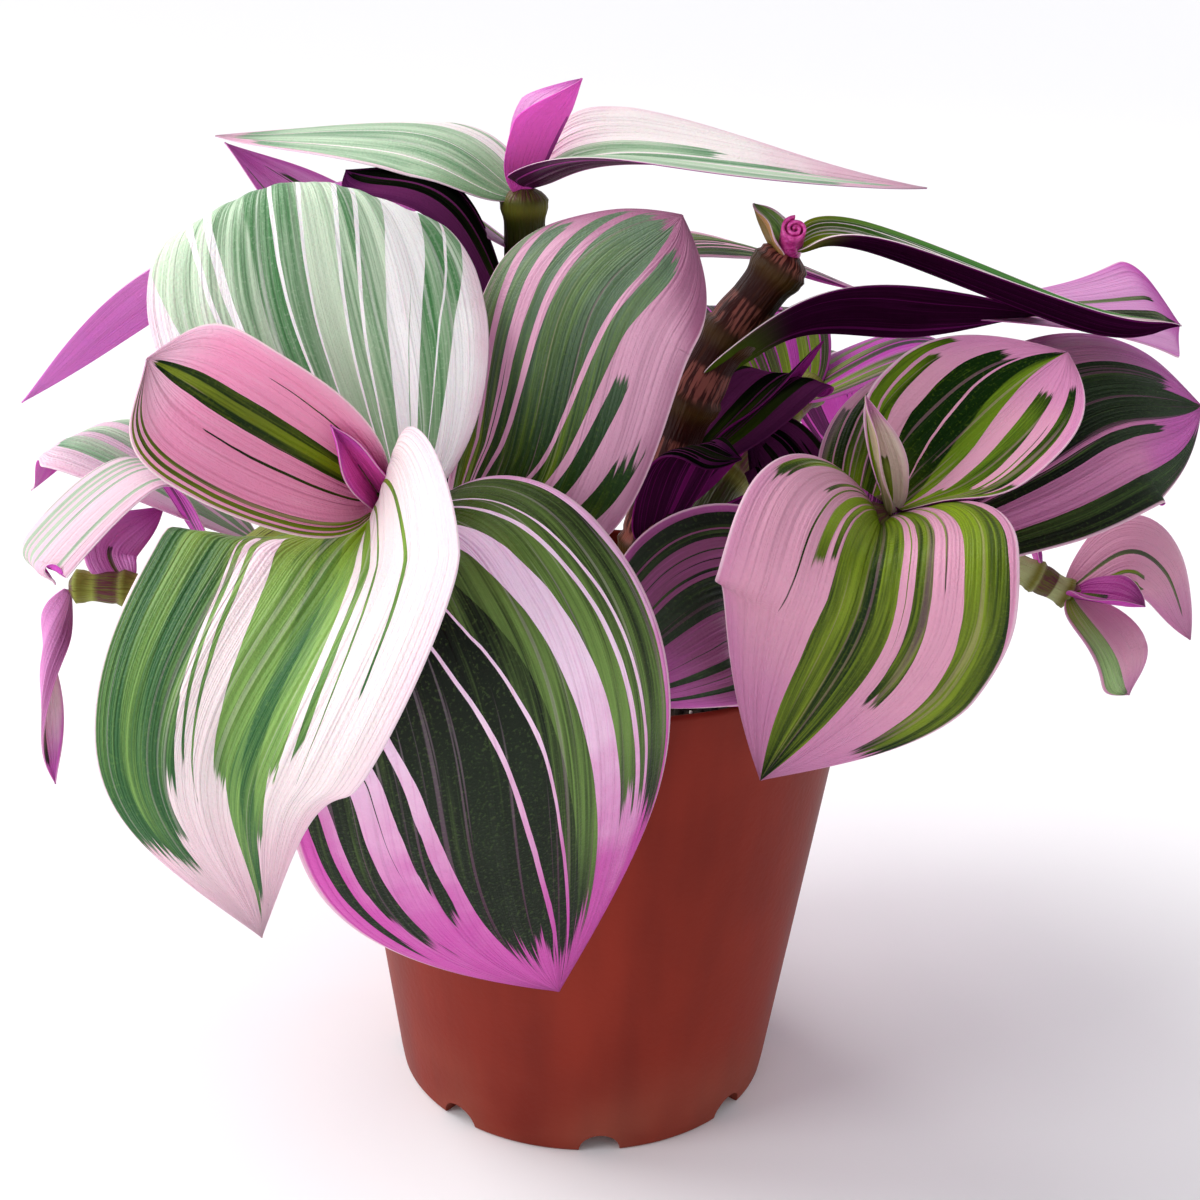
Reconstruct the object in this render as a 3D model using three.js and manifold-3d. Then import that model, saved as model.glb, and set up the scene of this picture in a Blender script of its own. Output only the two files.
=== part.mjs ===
// A tradescantia with pink, white and green striped leaves, growing in a plain
// tapered nursery pot. Millimetres, +Z up, origin at the middle of the pot's base.
// Azimuth 0 looks along +Y at the front of the plant, with +X to the right.
import * as THREE from 'three';
import { mergeVertices } from 'three/addons/utils/BufferGeometryUtils.js';
import Module from 'manifold-3d';

const wasm = await Module();
wasm.setup();

// Driving dimensions.
const POT = { rimRadius: 45, baseRadius: 33, height: 85, wall: 1.4, floor: 2.5, sides: 32 };
const DRAIN = { count: 8, width: 7, height: 3.5, reach: 4, below: 1, firstAngle: -84, arcSteps: 3 };
const SOIL = { level: 77, sides: 20, topRings: 3, lump: 0.9, lumpPitch: 7, flatEdge: 1 };
const GAP = 0.3; // left between a piece and what it stands in or grows from
const BLADE_THICKNESS = 0.8;
const NARROWEST_BLADE = 1; // width of a leaf's cut tip
const CELL = { along: 9, least: 5, most: 8, narrow: 4, wide: 6 }; // cells of a blade's grid
const WIDE_BLADE = 15; // a blade over this width has the wide grid
const BLADE_START = 0.02; // where a blade begins on its midrib, inside the stem
const STEM_SIDES = 8;
const STEM_ROOT = { swell: 0.8, plain: [-0.1, 0.02] }; // lower end; the stretch at the soil's top
const STEM_TIP = { swell: 0.6, rise: 1 }; // rounded end: its radius over the plain one, its height
const NODE_SWELL = 1.22; // a stem's radius at a leaf node, over the plain radius
const SHEATH_SWELL = 1.1; // and where the leaf's sheath still wraps it, above the node
const NODE_HALF = 0.035; // reach of the swelling each way, as a share of the stem
const MERGE_DISTANCE = 1e-4; // vertices nearer than this are one

// Stems: their way from the root in the soil to the growing tip, the plain radius at
// soil level and at the tip, and the nodes where leaves leave, as shares of the length
// above the soil.
const STEMS = {
  front: {
    through: [[-10, -11, 50], [-12, -14, 76], [-17, -28, 97], [-23, -42, 111], [-29, -54, 121]],
    radius: [4.5, 3.2], nodes: [0.12, 0.45, 0.8, 0.95],
  },
  right: {
    through: [[14, -9, 50], [18, -12, 76], [28, -20, 92], [37, -28, 105], [43, -35, 115]],
    radius: [4.2, 3.0], nodes: [0.3, 0.6, 0.93],
  },
  top: {
    through: [[-3, 5, 50], [-4, 6, 76], [-9, 8, 105], [-12, 8, 130], [-13, 8, 154]],
    radius: [4.5, 3.2], nodes: [0.25, 0.55, 0.76, 0.96],
  },
  thick: {
    through: [[7, 0, 50], [8, 0, 76], [9, -2, 100], [16, -4, 126], [29, -4, 147]],
    radius: [4.3, 3.8], nodes: [0.3, 0.46, 0.62, 0.78, 0.95],
  },
  far_left: {
    through: [[-16, 8, 50], [-20, 10, 76], [-46, 15, 95], [-71, 16, 82], [-93, 14, 81.5]],
    radius: [3.5, 2.5], nodes: [0.3, 0.55, 0.85],
  },
  far_right: {
    through: [[20, 7, 50], [24, 8, 76], [49, 12, 97], [70, 8, 93], [82, 6, 88]],
    radius: [3.2, 2.2], nodes: [0.4, 0.8, 0.97],
  },
  back_left: {
    through: [[-12, 20, 50], [-14, 24, 76], [-26, 38, 94], [-36, 50, 107], [-44, 62, 115]],
    radius: [4.2, 3.0], nodes: [0.4, 0.78, 0.96],
  },
  back_right: {
    through: [[10, 20, 50], [12, 24, 76], [22, 38, 94], [32, 50, 105], [42, 62, 110]],
    radius: [4.2, 3.0], nodes: [0.4, 0.78, 0.96],
  },
};

// Leaves. Each midrib starts on its stem at the share `at`, runs through `via` and ends
// at `tip`. `heading` turns the blade's sideways line (degrees, 0 along +X); it is the
// way from base to tip where it isn't given. `roll` turns the blade about its midrib and
// `fold` lifts both halves from it, each in degrees from base to tip; `cup` is how far a
// half bends on from midrib to margin. `belly` is where the blade is widest, `round` and
// `taper` shape its outline below and above that, and `skew` widens its left half.
const LEAVES = [
  {
    name: 'leaf_front_high', stem: 'front', at: 0.86, width: 47, heading: 106,
    via: [[-35, -44, 141], [-41, -32, 159]], tip: [-48, -4, 147],
    fold: [12, -10], cup: [-10, -50], belly: 0.42, round: 0.6, taper: 1.6, skew: 0.06,
  },
  {
    name: 'leaf_front_cupped', stem: 'front', at: 1.0, width: 25,
    via: [[-45, -64, 134]], tip: [-57, -62, 141], roll: [-80, -75],
    fold: [10, 0], cup: [50, 50], belly: 0.5, round: 0.5, taper: 2.8, skew: 0.1,
  },
  {
    name: 'leaf_front_left', stem: 'front', at: 0.94, width: 49.5, heading: 294,
    via: [[-33, -67, 114], [-44, -87, 96]], tip: [-42, -80, 68.5], roll: [57, 4],
    fold: [35, -1.5], cup: [-7.5, -20], belly: 0.36, round: 0.61, taper: 1.35, skew: -0.04,
  },
  {
    name: 'leaf_front_low', stem: 'front', at: 0.8, width: 55, heading: 301,
    via: [[-15.5, -63, 113.5], [-6.5, -67.5, 93]], tip: [-3.5, -53.5, 44.5], roll: [27, 0],
    fold: [19, -7], cup: [-16, -23], belly: 0.7, round: 0.35, taper: 3.2, skew: -0.26,
  },
  {
    name: 'leaf_front_right', stem: 'front', at: 0.45, width: 34, heading: 70,
    via: [[-8, -42.5, 121], [-1.5, -37, 145]], tip: [11, -30, 156], roll: [-1, 3],
    fold: [5, 0], cup: [-20, -38], belly: 0.68, round: 0.6, taper: 3.7, skew: 0.06,
  },
  {
    name: 'leaf_front_young', stem: 'front', at: 0.98, width: 9, heading: 120,
    via: [], tip: [-34, -62, 133],
    fold: [60, 50], cup: [0, 0], belly: 0.4, round: 0.5, taper: 1.6,
  },
  {
    name: 'leaf_right_low', stem: 'right', at: 0.93, width: 40, heading: 257,
    via: [[37, -59, 116], [34, -60.5, 104]], tip: [24, -59, 83], roll: [-14, 2],
    fold: [52, -11], cup: [-23, -21], belly: 0.48, round: 0.4, taper: 2.6,
  },
  {
    name: 'leaf_right_high', stem: 'right', at: 1.0, width: 32.5,
    via: [[53, -30, 121.5]], tip: [69, -22.5, 136.5], roll: [17, 23],
    fold: [22, 6], cup: [24, 10], belly: 0.6, round: 0.64, taper: 2.9, skew: 0.1,
  },
  {
    name: 'leaf_right_outer', stem: 'right', at: 0.6, width: 41,
    via: [[63.5, -16, 117], [79, -9.5, 125]], tip: [94.5, -8.5, 125.5], roll: [27, 28],
    fold: [5, -2], cup: [-10, -18], belly: 0.55, round: 0.76, taper: 4.5, skew: 0.04,
  },
  {
    name: 'leaf_right_back', stem: 'right', at: 0.8, width: 25,
    via: [[48, -10, 121]], tip: [55, 4, 130],
    fold: [5, 0], cup: [-10, -20], belly: 0.5, round: 0.6, taper: 2.0,
  },
  {
    name: 'leaf_right_young', stem: 'right', at: 0.98, width: 9, heading: 120,
    via: [], tip: [38, -34, 132],
    fold: [65, 50], cup: [0, 0], belly: 0.4, round: 0.5, taper: 1.6,
  },
  {
    name: 'leaf_top_left', stem: 'top', at: 0.98, width: 24,
    via: [[-30, 16, 161]], tip: [-65.5, 24, 159], roll: [-15, -11],
    fold: [-3, -6], cup: [-10, -10], belly: 0.44, round: 0.6, taper: 1.9,
  },
  {
    name: 'leaf_top_right', stem: 'top', at: 1.0, width: 33,
    via: [[5, 2, 159.5]], tip: [51, 6, 156], roll: [9, 9],
    fold: [31, 7], cup: [3, -14], belly: 0.46, round: 0.6, taper: 1.6, skew: -0.06,
  },
  {
    name: 'leaf_top_young', stem: 'top', at: 0.97, width: 18, heading: 20,
    via: [], tip: [-4, 3.5, 171.5], roll: [-20, -20],
    fold: [58, 45], cup: [0, 0], belly: 0.6, round: 0.6, taper: 1.3, skew: 0.05,
  },
  {
    name: 'leaf_top_long', stem: 'top', at: 0.85, width: 28,
    via: [[-37, 28, 150], [-77, 36, 133]], tip: [-106, 36, 109], roll: [15, 20],
    fold: [5, 0], cup: [-10, -20], belly: 0.4, round: 0.6, taper: 1.6,
  },
  {
    name: 'leaf_top_arched', stem: 'top', at: 0.6, width: 31.5,
    via: [[-23, 2, 152]], tip: [-41.5, 8, 156], roll: [2, -5],
    fold: [3, 5.5], cup: [-21, -17], belly: 0.55, round: 0.57, taper: 3.1,
  },
  {
    name: 'leaf_top_rear', stem: 'top', at: 0.8, width: 30,
    via: [[15, 34, 143]], tip: [49, 44, 132],
    fold: [5, 0], cup: [-10, -20], belly: 0.4, round: 0.6, taper: 1.8,
  },
  {
    name: 'leaf_top_lower', stem: 'top', at: 0.55, width: 30,
    via: [[-43, 48, 133.5]], tip: [-69.5, 50, 155],
    fold: [20, 10], cup: [0, 0], belly: 0.4, round: 0.6, taper: 1.8,
  },
  {
    name: 'leaf_thick_right', stem: 'thick', at: 1.0, width: 28,
    via: [[40.5, -3.5, 148], [77.5, 0, 135.5]], tip: [93, 2, 136], roll: [0, -7],
    fold: [11, 20], cup: [-2, -5], belly: 0.43, round: 0.6, taper: 2.5, skew: 0.05,
  },
  {
    name: 'leaf_thick_low', stem: 'thick', at: 0.66, width: 19,
    via: [[32.5, -4, 136], [53.5, 5, 135]], tip: [73, 13, 135], roll: [-35, -36],
    fold: [10, 8], cup: [-17, -16], belly: 0.35, round: 0.6, taper: 2.5, skew: -0.25,
  },
  {
    name: 'leaf_thick_rear', stem: 'thick', at: 0.85, width: 22,
    via: [[85.5, 19.5, 133.5]], tip: [101, 28, 131], roll: [0, 49],
    fold: [5, -1], cup: [0, 0], belly: 0.7, round: 2.5, taper: 1.9, skew: 0.25,
  },
  {
    name: 'leaf_thick_collar', stem: 'thick', at: 0.97, width: 12, heading: 170,
    via: [], tip: [23, -2, 154], roll: [-10, -10],
    fold: [30, 20], cup: [0, 0], belly: 0.5, round: 0.5, taper: 1.6,
  },
  {
    name: 'leaf_farleft_hanging', stem: 'far_left', at: 1.0, width: 7.5,
    via: [[-98, 11, 67]], tip: [-99, 15, 42], roll: [25, 270],
    fold: [20, 20], cup: [10, 50], belly: 0.4, round: 0.6, taper: 3,
  },
  {
    name: 'leaf_farleft_curled', stem: 'far_left', at: 0.6, width: 22,
    via: [[-76.5, 8.5, 106], [-94, 0, 93.5]], tip: [-91, 0, 87],
    fold: [0, 0], cup: [-10, -20], belly: 0.65, round: 0.7, taper: 1.5, skew: 0.2,
  },
  {
    name: 'leaf_farleft_rear', stem: 'far_left', at: 0.5, width: 27,
    via: [[-91.5, 36, 104]], tip: [-107, 40, 91], roll: [0, -8],
    fold: [3, 0], cup: [-9, -20], belly: 0.5, round: 0.9, taper: 1.4, skew: 0.2,
  },
  {
    name: 'leaf_farleft_small', stem: 'far_left', at: 0.85, width: 10,
    via: [[-87, 20, 87]], tip: [-80, 32, 91], roll: [40, 40],
    fold: [20, 0], cup: [-10, -20], belly: 0.45, round: 0.6, taper: 2.4,
  },
  {
    name: 'leaf_farright_curved', stem: 'far_right', at: 0.97, width: 17,
    via: [[90, 6, 96], [97, 5, 93]], tip: [102, 2, 82], roll: [35, 35],
    fold: [5, 0], cup: [-10, -20], belly: 0.5, round: 0.6, taper: 2.2,
  },
  {
    name: 'leaf_farright_low', stem: 'far_right', at: 1.0, width: 16,
    via: [[88, -4, 82]], tip: [91, -4, 74],
    fold: [10, 0], cup: [0, 0], belly: 0.5, round: 0.6, taper: 2.0,
  },
  {
    name: 'leaf_farright_young', stem: 'far_right', at: 1.0, width: 10,
    via: [], tip: [89, -12, 93], roll: [20, 20],
    fold: [40, 30], cup: [0, 0], belly: 0.5, round: 0.6, taper: 2.0,
  },
  {
    name: 'leaf_farright_rear', stem: 'far_right', at: 0.85, width: 13,
    via: [[77, 10, 92]], tip: [75, 15, 97], roll: [60, 60],
    fold: [10, 0], cup: [0, 0], belly: 0.5, round: 0.6, taper: 2.2,
  },
  {
    name: 'leaf_rim', stem: 'right', at: 0.3, width: 30, heading: 190,
    via: [[18, -42, 102]], tip: [1, -50, 91], roll: [-70, -70],
    fold: [5, 0], cup: [-10, -20], belly: 0.5, round: 0.6, taper: 2.2,
  },
  {
    name: 'leaf_inner_left', stem: 'thick', at: 0.3, width: 16,
    via: [[14, -16, 118]], tip: [22, -20, 118],
    fold: [0, 0], cup: [-10, -20], belly: 0.5, round: 0.6, taper: 2.0,
  },
  {
    name: 'leaf_inner_right', stem: 'right', at: 0.5, width: 16,
    via: [[32, 2, 110]], tip: [25, 6, 117],
    fold: [10, 0], cup: [-10, -20], belly: 0.5, round: 0.6, taper: 2.0,
  },
  {
    name: 'leaf_backleft_low', stem: 'back_left', at: 0.97, width: 44,
    via: [[-54, 84, 116]], tip: [-62, 102, 84],
    fold: [10, -5], cup: [-10, -20], belly: 0.45, round: 0.5, taper: 2.2,
  },
  {
    name: 'leaf_backleft_side', stem: 'back_left', at: 0.8, width: 36,
    via: [[-64, 66, 124]], tip: [-92, 78, 100],
    fold: [10, -5], cup: [-10, -20], belly: 0.45, round: 0.5, taper: 2.2,
  },
  {
    name: 'leaf_backleft_high', stem: 'back_left', at: 0.75, width: 40,
    via: [[-24, 76, 126]], tip: [-10, 102, 104],
    fold: [10, -5], cup: [-10, -20], belly: 0.45, round: 0.5, taper: 2.2,
  },
  {
    name: 'leaf_backleft_rim', stem: 'back_left', at: 0.4, width: 36,
    via: [[-44, 54, 90]], tip: [-62, 70, 58],
    fold: [5, -5], cup: [-10, -20], belly: 0.45, round: 0.5, taper: 2.2,
  },
  {
    name: 'leaf_backright_low', stem: 'back_right', at: 0.97, width: 44,
    via: [[54, 84, 110]], tip: [62, 102, 76],
    fold: [10, -5], cup: [-10, -20], belly: 0.45, round: 0.5, taper: 2.2,
  },
  {
    name: 'leaf_backright_side', stem: 'back_right', at: 0.85, width: 36,
    via: [[66, 64, 118]], tip: [92, 60, 96],
    fold: [10, -5], cup: [-10, -20], belly: 0.45, round: 0.5, taper: 2.2,
  },
  {
    name: 'leaf_backright_high', stem: 'back_right', at: 0.75, width: 40,
    via: [[24, 78, 122]], tip: [22, 104, 92],
    fold: [10, -5], cup: [-10, -20], belly: 0.45, round: 0.5, taper: 2.2,
  },
  {
    name: 'leaf_backright_rim', stem: 'back_right', at: 0.4, width: 36,
    via: [[36, 62, 90]], tip: [34, 84, 56],
    fold: [5, -5], cup: [-10, -20], belly: 0.45, round: 0.5, taper: 2.2,
  },
  {
    name: 'leaf_top_inner', stem: 'top', at: 0.25, width: 28,
    via: [[-28, 6, 108]], tip: [-52, 4, 98],
    fold: [10, 0], cup: [-10, -20], belly: 0.45, round: 0.6, taper: 2.0,
  },
  {
    name: 'leaf_top_inner_back', stem: 'top', at: 0.3, width: 28,
    via: [[-6, 26, 114]], tip: [-2, 48, 104],
    fold: [10, 0], cup: [-10, -20], belly: 0.45, round: 0.6, taper: 2.0,
  },
  {
    name: 'leaf_thick_back', stem: 'thick', at: 0.46, width: 28,
    via: [[26, 18, 122]], tip: [38, 40, 114],
    fold: [10, 0], cup: [-10, -20], belly: 0.45, round: 0.6, taper: 2.0,
  },
  {
    name: 'leaf_thick_inner', stem: 'thick', at: 0.35, width: 24,
    via: [[22, 12, 111]], tip: [38, 20, 128], roll: [-50, -50],
    fold: [10, 0], cup: [-10, -20], belly: 0.45, round: 0.6, taper: 2.0,
  },
  {
    name: 'leaf_thick_inner_low', stem: 'thick', at: 0.2, width: 24,
    via: [[26, 8, 100]], tip: [46, 18, 108], roll: [-50, -50],
    fold: [10, 0], cup: [-10, -20], belly: 0.45, round: 0.6, taper: 2.0,
  },
];

// The young scrolled leaf at the tip of the thick stem, seen end on.
const SCROLL = { base: [29, -4, 147], tip: [29, -9.5, 151.5], radius: 2.4, bore: 1, depth: 3, sides: 12 };

const vector = (point) => new THREE.Vector3(...point);
const blend = ([from, to], share) => from + (to - from) * share;
const radians = THREE.MathUtils.degToRad;

// A closed three.js geometry as a solid. Triangles that shrink to a line at a pole or a
// point are dropped, and one that comes out inside out is turned.
function solidOf(geometry) {
  const bare = new THREE.BufferGeometry();
  bare.setAttribute('position', geometry.getAttribute('position'));
  bare.setIndex(geometry.getIndex());
  const merged = mergeVertices(bare, MERGE_DISTANCE);
  const source = merged.getIndex().array;
  const corners = [];
  for (let i = 0; i < source.length; i += 3) {
    const [a, b, c] = [source[i], source[i + 1], source[i + 2]];
    if (a !== b && b !== c && c !== a) corners.push(a, b, c);
  }
  const vertProperties = new Float32Array(merged.getAttribute('position').array);
  const make = (list) => new wasm.Manifold(
    new wasm.Mesh({ numProp: 3, vertProperties, triVerts: new Uint32Array(list) }),
  );
  const solid = make(corners);
  return solid.volume() > 0 ? solid : make([...corners].reverse());
}

// The largest of a solid's loose bodies.
function largest(solid) {
  return solid.decompose().reduce((best, body) => (body.volume() > best.volume() ? body : best));
}

function meshOf(name, solid, material) {
  const { vertProperties, triVerts } = solid.getMesh();
  const geometry = new THREE.BufferGeometry();
  geometry.setAttribute('position', new THREE.BufferAttribute(vertProperties, 3));
  geometry.setIndex(new THREE.BufferAttribute(triVerts, 1));
  const mesh = new THREE.Mesh(geometry, material);
  mesh.name = name;
  return mesh;
}

// A body of revolution about Z from its (radius, height) profile.
function turned(profile, sides) {
  const points = profile.map(([radius, height]) => new THREE.Vector2(radius, height));
  return new THREE.LatheGeometry(points, sides).rotateX(Math.PI / 2);
}

// ---- Pot: one thin moulded cup with drain openings round its bottom edge.
const outerRadius = (height) => blend([POT.baseRadius, POT.rimRadius], height / POT.height);
const innerRadius = (height) => outerRadius(height) - POT.wall;

function potSolid() {
  let pot = solidOf(turned([
    [0, 0],
    [POT.baseRadius, 0],
    [POT.rimRadius, POT.height],
    [innerRadius(POT.height), POT.height],
    [innerRadius(POT.floor), POT.floor],
    [0, POT.floor],
  ], POT.sides));
  // A drain opening is an arch, half round at its top, through the foot of the wall.
  const arch = new THREE.Shape();
  const half = DRAIN.width / 2;
  arch.moveTo(-half, -DRAIN.below);
  arch.lineTo(half, -DRAIN.below);
  arch.lineTo(half, DRAIN.height - half);
  arch.absarc(0, DRAIN.height - half, half, 0, Math.PI);
  arch.closePath();
  const cutter = new THREE.ExtrudeGeometry(arch, {
    depth: DRAIN.reach * 2, bevelEnabled: false, curveSegments: DRAIN.arcSteps,
  });
  cutter.rotateX(Math.PI / 2).translate(0, DRAIN.reach, 0);
  for (let i = 0; i < DRAIN.count; i += 1) {
    const turn = radians(DRAIN.firstAngle + (360 / DRAIN.count) * i);
    const placed = cutter.clone()
      .translate(0, -POT.baseRadius, 0)
      .rotateZ(turn + Math.PI / 2);
    pot = pot.subtract(solidOf(placed));
  }
  return pot;
}

// ---- Stems: round tubes along their way, thicker at each node.
const stemCurve = (stem) => new THREE.CatmullRomCurve3(
  stem.through.map(vector), false, 'catmullrom', 0.5,
);
// A share of the length above the soil as the curve's own parameter; the first span of
// the curve is the root.
const onCurve = (stem, share) => {
  const spans = stem.through.length - 1;
  return (1 + share * (spans - 1)) / spans;
};

// The rings that a stem is lofted through. `beyond` is a step past the curve's end.
function stemRings(stem) {
  const rings = [{ at: -1 / (stem.through.length - 2), swell: STEM_ROOT.swell, beyond: 0 }];
  for (const at of STEM_ROOT.plain) rings.push({ at, swell: 1, beyond: 0 });
  for (const node of stem.nodes) {
    rings.push({ at: node - NODE_HALF, swell: 1, beyond: 0 });
    rings.push({ at: node, swell: NODE_SWELL, beyond: 0 });
    rings.push({ at: Math.min(node + NODE_HALF, 1), swell: SHEATH_SWELL, beyond: 0 });
  }
  rings.push({ at: 1, swell: STEM_TIP.swell, beyond: STEM_TIP.rise });
  return rings;
}

function stemSolid(stem, extra = 0) {
  const rings = stemRings(stem);
  const spans = rings.length - 1;
  const curve = stemCurve(stem);
  const tube = new THREE.CylinderGeometry(1, 1, 1, STEM_SIDES, spans);
  const position = tube.getAttribute('position');
  const axis = new THREE.Vector3(0, 1, 0);
  for (let i = 0; i < position.count; i += 1) {
    const offset = new THREE.Vector3().fromBufferAttribute(position, i);
    const ring = rings[Math.round((offset.y + 0.5) * spans)];
    const share = onCurve(stem, ring.at);
    const radius = blend(stem.radius, Math.max(ring.at, 0)) * ring.swell + extra;
    const tangent = curve.getTangent(share);
    const beyond = ring.beyond > 0 ? ring.beyond + extra : 0;
    const below = ring === rings[0] ? extra : 0;
    offset.y = 0;
    offset.multiplyScalar(radius).applyQuaternion(
      new THREE.Quaternion().setFromUnitVectors(axis, tangent),
    );
    offset.add(curve.getPoint(share)).addScaledVector(tangent, beyond - below);
    position.setXYZ(i, offset.x, offset.y, offset.z);
  }
  return solidOf(tube);
}

// ---- Soil: fills the pot to its level, lumpy on top, with a plain hole for each root.
function soilSolid(rootSpaces) {
  const bottom = POT.floor + GAP;
  const profile = [[0, bottom], [innerRadius(bottom) - GAP, bottom]];
  for (let ring = SOIL.topRings; ring >= 0; ring -= 1) {
    profile.push([((innerRadius(SOIL.level) - GAP) * ring) / SOIL.topRings, SOIL.level]);
  }
  const body = turned(profile, SOIL.sides);
  const position = body.getAttribute('position');
  const edge = innerRadius(SOIL.level) - SOIL.flatEdge;
  for (let i = 0; i < position.count; i += 1) {
    const [x, y, z] = [position.getX(i), position.getY(i), position.getZ(i)];
    if (z === SOIL.level && Math.hypot(x, y) < edge) {
      const lump = Math.cos(x / SOIL.lumpPitch) * Math.sin(y / SOIL.lumpPitch);
      position.setZ(i, z + SOIL.lump * lump);
    }
  }
  return rootSpaces.reduce((soil, space) => soil.subtract(space), solidOf(body));
}

// ---- Leaves: thin blades worked out over a grid, along the midrib and across it.
function outline(leaf, share) {
  if (share < leaf.belly) return (1 - (1 - share / leaf.belly) ** 2) ** leaf.round;
  return 1 - ((share - leaf.belly) / (1 - leaf.belly)) ** leaf.taper;
}

function midribOf(leaf) {
  const stem = STEMS[leaf.stem];
  const base = stemCurve(stem).getPoint(onCurve(stem, leaf.at));
  const points = [base, ...leaf.via.map(vector), vector(leaf.tip)];
  return new THREE.CatmullRomCurve3(points, false, 'catmullrom', 0.5);
}

// Rows of points on the blade's middle sheet, one row for each station on the midrib.
// Each half's section is an arc that leaves the midrib at the fold angle and bends on by
// the cup angle, so a point's way out is the arc's chord.
function bladeRows(leaf, along, across) {
  const midrib = midribOf(leaf);
  const [base, tip] = [midrib.points[0], midrib.points[midrib.points.length - 1]];
  const heading = leaf.heading === undefined
    ? Math.atan2(tip.y - base.y, tip.x - base.x)
    : radians(leaf.heading);
  const level = new THREE.Vector3(-Math.sin(heading), Math.cos(heading), 0);
  const rows = [];
  for (let i = 0; i <= along; i += 1) {
    const share = BLADE_START + (1 - BLADE_START) * (i / along);
    const tangent = midrib.getTangent(share);
    const sideways = level.clone().addScaledVector(tangent, -level.dot(tangent)).normalize();
    sideways.applyAxisAngle(tangent, radians(blend(leaf.roll, share)));
    const upward = new THREE.Vector3().crossVectors(tangent, sideways);
    const half = Math.max((leaf.width / 2) * outline(leaf, share), NARROWEST_BLADE / 2);
    const row = [];
    for (let j = 0; j <= across; j += 1) {
      const out = (2 * j) / across - 1;
      const reach = half * (1 + leaf.skew * Math.sign(out)) * Math.abs(out);
      const bend = radians(blend(leaf.cup, share)) * Math.abs(out);
      const angle = radians(blend(leaf.fold, share)) + bend / 2;
      const chord = bend === 0 ? 1 : Math.sin(bend / 2) / (bend / 2);
      row.push(midrib.getPoint(share)
        .addScaledVector(sideways, reach * chord * Math.cos(angle) * Math.sign(out))
        .addScaledVector(upward, reach * chord * Math.sin(angle)));
    }
    rows.push(row);
  }
  return rows;
}

// A closed blade: the middle sheet moved half the thickness each way along its normals,
// both faces split into triangles alike, and a wall round the margin.
function bladeSolid(leaf, extra = 0) {
  const length = midribOf(leaf).getLength();
  const along = THREE.MathUtils.clamp(Math.round(length / CELL.along), CELL.least, CELL.most);
  const across = leaf.width > WIDE_BLADE ? CELL.wide : CELL.narrow;
  const rows = bladeRows(leaf, along, across);
  const thickness = BLADE_THICKNESS / 2 + extra;
  const at = (i, j) => rows[Math.min(Math.max(i, 0), along)][Math.min(Math.max(j, 0), across)];
  const positions = [];
  for (const side of [1, -1]) {
    for (let i = 0; i <= along; i += 1) {
      for (let j = 0; j <= across; j += 1) {
        const forward = at(i + 1, j).clone().sub(at(i - 1, j));
        const outward = at(i, j + 1).clone().sub(at(i, j - 1));
        const normal = forward.clone().cross(outward).normalize();
        const point = at(i, j).clone().addScaledVector(normal, side * thickness);
        const marginStep = (j === across ? 1 : 0) - (j === 0 ? 1 : 0);
        const endStep = (i === along ? 1 : 0) - (i === 0 ? 1 : 0);
        point.addScaledVector(outward.normalize(), marginStep * extra);
        point.addScaledVector(forward.normalize(), endStep * extra);
        positions.push(point.x, point.y, point.z);
      }
    }
  }
  const stride = across + 1;
  const sheet = stride * (along + 1);
  const index = [];
  for (let i = 0; i < along; i += 1) {
    for (let j = 0; j < across; j += 1) {
      const [a, b] = [i * stride + j, i * stride + j + 1];
      const [c, d] = [a + stride, b + stride];
      index.push(a, c, b, b, c, d);
      index.push(sheet + a, sheet + b, sheet + c, sheet + b, sheet + d, sheet + c);
    }
  }
  const rim = [];
  for (let j = 0; j < across; j += 1) rim.push(j);
  for (let i = 0; i < along; i += 1) rim.push(i * stride + across);
  for (let j = across; j > 0; j -= 1) rim.push(along * stride + j);
  for (let i = along; i > 0; i -= 1) rim.push(i * stride);
  rim.forEach((a, i) => {
    const b = rim[(i + 1) % rim.length];
    index.push(a, b, sheet + a, b, sheet + b, sheet + a);
  });
  const geometry = new THREE.BufferGeometry();
  geometry.setAttribute('position', new THREE.Float32BufferAttribute(positions, 3));
  geometry.setIndex(index);
  return solidOf(geometry);
}

// The scrolled young leaf: a short tube closed at its foot.
function scrollSolid(extra = 0) {
  const [base, tip] = [vector(SCROLL.base), vector(SCROLL.tip)];
  const length = tip.distanceTo(base) + extra;
  const radius = SCROLL.radius + extra;
  const bore = SCROLL.bore - extra;
  const tube = turned([
    [0, -extra], [radius, -extra], [radius, length],
    [bore, length], [bore, length - SCROLL.depth], [0, length - SCROLL.depth],
  ], SCROLL.sides);
  const turn = new THREE.Quaternion().setFromUnitVectors(
    new THREE.Vector3(0, 0, 1), tip.clone().sub(base).normalize(),
  );
  return solidOf(tube.applyQuaternion(turn).translate(base.x, base.y, base.z));
}

// ---- Materials.
const surface = (color, roughness) => new THREE.MeshStandardMaterial({
  color, roughness, metalness: 0,
});
const POT_PLASTIC = surface('#8f3a24', 0.5);
const SOIL_EARTH = surface('#2b1d14', 0.95);
const STEM_GREEN = surface('#6d6a35', 0.5);
const LEAF_TISSUE = surface('#b98aa0', 0.4);

// ---- Assembly.
const plant = new THREE.Group();
plant.add(meshOf('pot', potSolid(), POT_PLASTIC));

const stems = Object.entries(STEMS).map(([name, stem]) => ({
  name, solid: stemSolid(stem), space: stemSolid(stem, GAP),
}));
plant.add(meshOf('soil', soilSolid(stems.map((stem) => stem.space)), SOIL_EARTH));
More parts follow.
